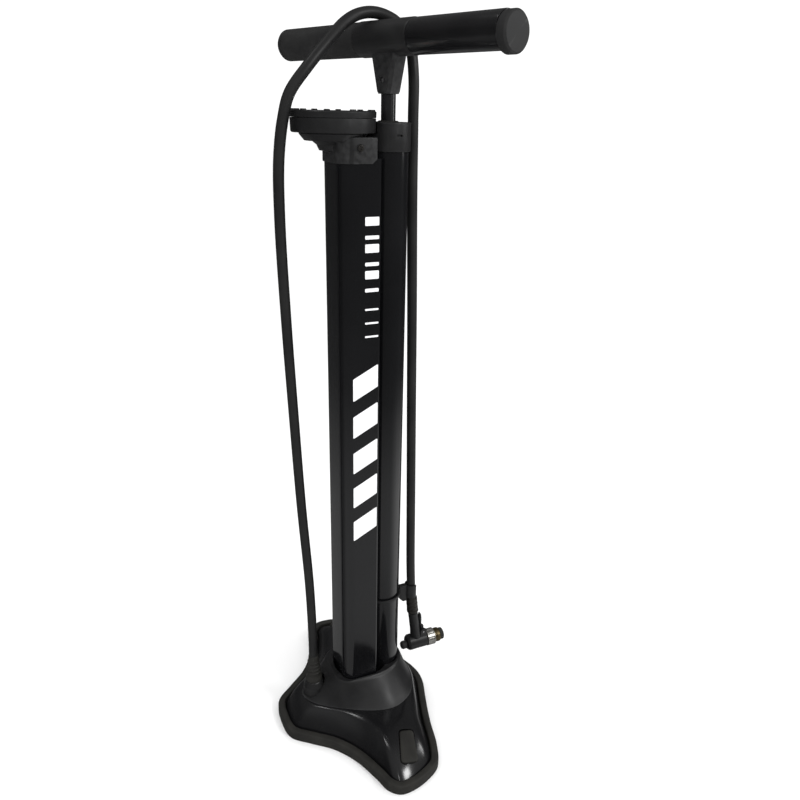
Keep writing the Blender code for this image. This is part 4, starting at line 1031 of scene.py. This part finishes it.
def ferrule():
    """The ribbed sleeve that is pressed on the end of the hose."""
    side = [(0, 0), (5.2, 0), (5.4, -1.6)]
    for ring in range(3):
        top = -3.4 - 5.2 * ring
        side += [(6.0, top + 0.6), (6.15, top - 2.6), (5.75, top - 3.2), (5.75, top - 3.8)]
    side += [(6.3, -18.6), (6.3, -20.4), (5.6, -21.4), (0, -21.4)]
    return piece(turned(side, 0.4, 3), "ferrule_sleeve", "gunmetal", "root", "hose_ferrule",
                 matrix=shift(HOSE_X, 33.4, FERRULE_TOP) @ turn(math.radians(6.0), "X"))


def lever_hole():
    """The step that drills the hole of the lever's pin."""
    return "DIFFERENCE", cutter(1.3, -10, 10, SMALL), shift(*LEVER) @ turn(math.pi / 2, "Y")


def chuck_housing():
    """The chuck's head and neck, with two lugs for the lever, drilled for its pin and the mouth."""
    body = turned([(0, 52.4), (8.0, 52.4), (8.6, 51.4), (8.6, 31.5), (7.0, 29.4), (0, 29.4)], 0.7)
    body.transform(CHUCK_AXIS)
    neck = turned([(0, 0), (5.2, 0), (5.4, -22.0), (6.4, -34.0), (0, -34.0)], 0.6)
    steps = [("UNION", neck, shift(HOSE_X, 35.8, 100.2) @ turn(math.radians(8.0), "X"))]
    outline = soften([(-3.6, -6.0), (3.6, -6.0), (3.6, 2.0), (1.6, 3.6), (-1.6, 3.6), (-3.6, 2.0)], 1.2, 5)
    for side in (-4.0, 4.0):
        lug = flat_shape([outline], side - 1.2, side + 1.2, 0.25)
        steps.append(("UNION", lug, shift(*LEVER) @ UPRIGHT))
    steps += [lever_hole(), ("DIFFERENCE", cutter(4.4, 46, 60), CHUCK_AXIS)]
    return piece(combined(body, steps), "chuck_housing", "satin_black", "root", "chuck_body", edge=0.3)


def chuck_parts():
    """The pieces at the hose's far end, from the ferrule to the mouth of the chuck."""
    made = [ferrule(), chuck_housing()]
    tail = turned([(0, 29.1), (4.4, 29.1), (4.4, 24.2), (3.4, 22.8), (0, 22.8)], 0.6, 4, SMALL)
    made.append(piece(tail, "chuck_tail_cap", "matte_black", "root", "chuck_rear_cap",
                      matrix=shift(0, 0, -1.6) @ CHUCK_AXIS))
    made.append(thumb_lever())
    sleeve = soften([(4.3, 68.4), (7.2, 68.4), (7.6, 67.6), (7.6, 64.6), (7.1, 64.2), (7.1, 63.4),
                     (7.6, 63.0), (7.6, 61.9), (5.7, 61.9), (5.7, 53.2), (4.3, 53.2)], 0.25, 3)
    seal = soften([(4.3, 73.0), (5.9, 73.0), (6.4, 72.4), (6.4, 68.7), (4.3, 68.7)], 0.4, 3)
    for mesh, name, slot, node in (
            (knurled_ring(), "knurled_ring", "nut_chrome", "chuck_nut"),
            (revolve(sleeve), "mouth_sleeve", "brass", "chuck_sleeve"),
            (revolve(seal, SMALL), "mouth_seal", "rubber_black", "valve_gasket")):
        made.append(piece(mesh, name, slot, "chuck_front", node, matrix=CHUCK_AXIS))
    return made + [frame["nodes"]["lever_pin"]]


def knurled_ring():
    """The bright clamping ring, with rounded flutes between its two plain edges."""
    low, high, radius = NUT_LOW[1], NUT_HIGH[1], 9.0

    def flute(angle, here, height):
        inside = min(height - low - 1.0, high - 1.0 - height)
        if here < 8.0 or inside < 0:
            return 0.0
        depth = min(inside / 0.4, 1.0)
        return -0.42 * depth * max(0.0, math.cos(12 * angle)) ** 6

    heights = [high - 0.9, high - 1.0, high - 1.4, high - 2.5, (low + high) / 2, low + 2.5, low + 1.4,
               low + 1.0, low + 0.9]
    section = soften([(6.0, high), (radius, high), (radius, high - 0.8)], [0.3, 0.6, 0], 4, closed=False)
    section += [(radius, height) for height in heights]
    section += soften([(radius, low + 0.8), (radius, low), (6.0, low)], [0, 0.6, 0], 4, closed=False)
    return revolve(section, 192, flute)


def thumb_lever():
    """The thumb lever, folded up against the neck."""
    side_view = [(-1.3, -1.5), (0.2, -1.95), (1.7, -1.3), (2.3, 0.0), (0.7, 5.0), (-1.8, 9.6), (-1.9, 17.6),
                 (-2.5, 23.0), (-4.2, 22.2), (-4.4, 17.6), (-3.5, 9.6), (-2.3, 5.0), (-1.9, 1.0)]
    lever = flat_shape([soften(side_view, 1.2, 4)], -2.5, 2.5, 0.4)
    lever.transform(shift(*LEVER) @ UPRIGHT)
    mesh = combined(lever, [lever_hole()])
    return piece(mesh, "thumb_lever", "matte_black", "lever", "chuck_lever", crease=40.0)


# ---- studio -------------------------------------------------------------------------------------
def area_light(name, place, target, size, power, ratio=1.0):
    """A soft light at a place in metres, aimed at a target. ratio is its depth over its width."""
    data = bpy.data.lights.new(name, "AREA")
    data.shape = "RECTANGLE"
    data.size = size
    data.size_y = size * ratio
    data.energy = power
    facing = (Vector(target) - Vector(place)).to_track_quat("-Z", "Y").to_matrix().to_4x4()
    placed(name, data, Matrix.Translation(Vector(place)) @ facing)


FLOOR_REACH = 40.0
# what reflections see: brightness by the height of the direction looked in
ROOM = [(-1.0, 0.3), (-0.71, 0.38), (-0.62, 0.6), (-0.5, 0.6), (-0.34, 0.18), (-0.17, 0.13), (0.15, 0.13),
        (0.45, 0.32), (0.8, 0.45), (1.0, 0.45)]
SKY = 1.12


def studio_world():
    """A white room that is darker in reflections, most of all at eye level and on the far side."""
    world = bpy.data.worlds.new("studio")
    world.use_nodes = True
    tree = world.node_tree
    where = add_node(tree, "ShaderNodeTexCoord")
    split = add_node(tree, "ShaderNodeSeparateXYZ")
    tree.links.new(where.outputs["Generated"], split.inputs["Vector"])
    near, side, height = (split.outputs[axis] for axis in "XYZ")
    curve = add_node(tree, "ShaderNodeFloatCurve")
    points = curve.mapping.curves[0].points
    for level, value in ROOM[1:-1]:
        points.new(0.5 + 0.5 * level, value)
    points[0].location = (0.0, ROOM[0][1])
    points[-1].location = (1.0, ROOM[-1][1])
    for point in points:
        point.handle_type = "VECTOR"
    curve.mapping.update()
    tree.links.new(ranged(tree, height, 0.0, 1.0, -1.0, 1.0), curve.inputs["Value"])
    below = maths(tree, "MULTIPLY", curve.outputs["Value"], ranged(tree, near, 0.35, 1.0, -0.1, 0.3))
    glow = maths(tree, "MULTIPLY", ranged(tree, side, 0.0, 0.6, 0.4, 0.85),
                 ranged(tree, height, 1.0, 0.0, -0.5, -0.3))
    room = maths(tree, "ADD", below, glow)
    glossy = add_node(tree, "ShaderNodeLightPath").outputs["Is Glossy Ray"]
    white = maths(tree, "MULTIPLY", maths(tree, "SUBTRACT", 1.0, glossy), SKY)
    light = maths(tree, "ADD", white, maths(tree, "MULTIPLY", glossy, room))
    tree.links.new(light, tree.nodes["Background"].inputs["Strength"])
    tree.nodes["Background"].inputs["Color"].default_value = (1.0, 1.0, 1.0, 1.0)
    bpy.context.scene.world = world


def studio():
    """A plain pale floor under soft white light."""
    floor_mesh = bpy.data.meshes.new("floor")
    work = bmesh.new()
    bmesh.ops.create_grid(work, x_segments=1, y_segments=1, size=FLOOR_REACH)
    work.to_mesh(floor_mesh)
    work.free()
    floor_mesh.materials.append(finish("floor", (0.93, 0.93, 0.93), (0.95, 0.95, 0.95), (0.8, 0.9), 0.1,
                                       grain=3.0, relief=0.02, patch=200.0))
    floor = placed("floor", floor_mesh)
    floor.visible_glossy = False
    studio_world()
    bpy.context.scene.view_settings.view_transform = "Standard"
    middle = (0.0, 0.0, 0.3)
    area_light("overhead", (1.05, 0.65, 1.15), middle, 0.28, 6.0)
    area_light("strip", (0.45, 1.25, 0.9), middle, 0.2, 2.5, 2.0)
    area_light("ceiling", (-0.16, -0.47, 1.66), (0.05, -0.05, 0.0), 0.3, 1.2, 0.3)
    area_light("spot", (0.99, -0.55, 1.12), (0.12, -0.03, 0.0), 0.08, 0.5)


# ---- assembly -----------------------------------------------------------------------------------
def build():
    make_finishes()
    camera()
    air_hose, route = hose()
    on_hose = chuck_parts()
    paint_frame()
    rim()
    pan()
    pads()
    collar()
    gland()
    pump_tube()
    tank()
    graphic()
    top_cap()
    tube_cap()
    cap_trim()
    gauge_body()
    gauge_face()
    rod()
    stem()
    grips()
    clip()
    studio()


build()
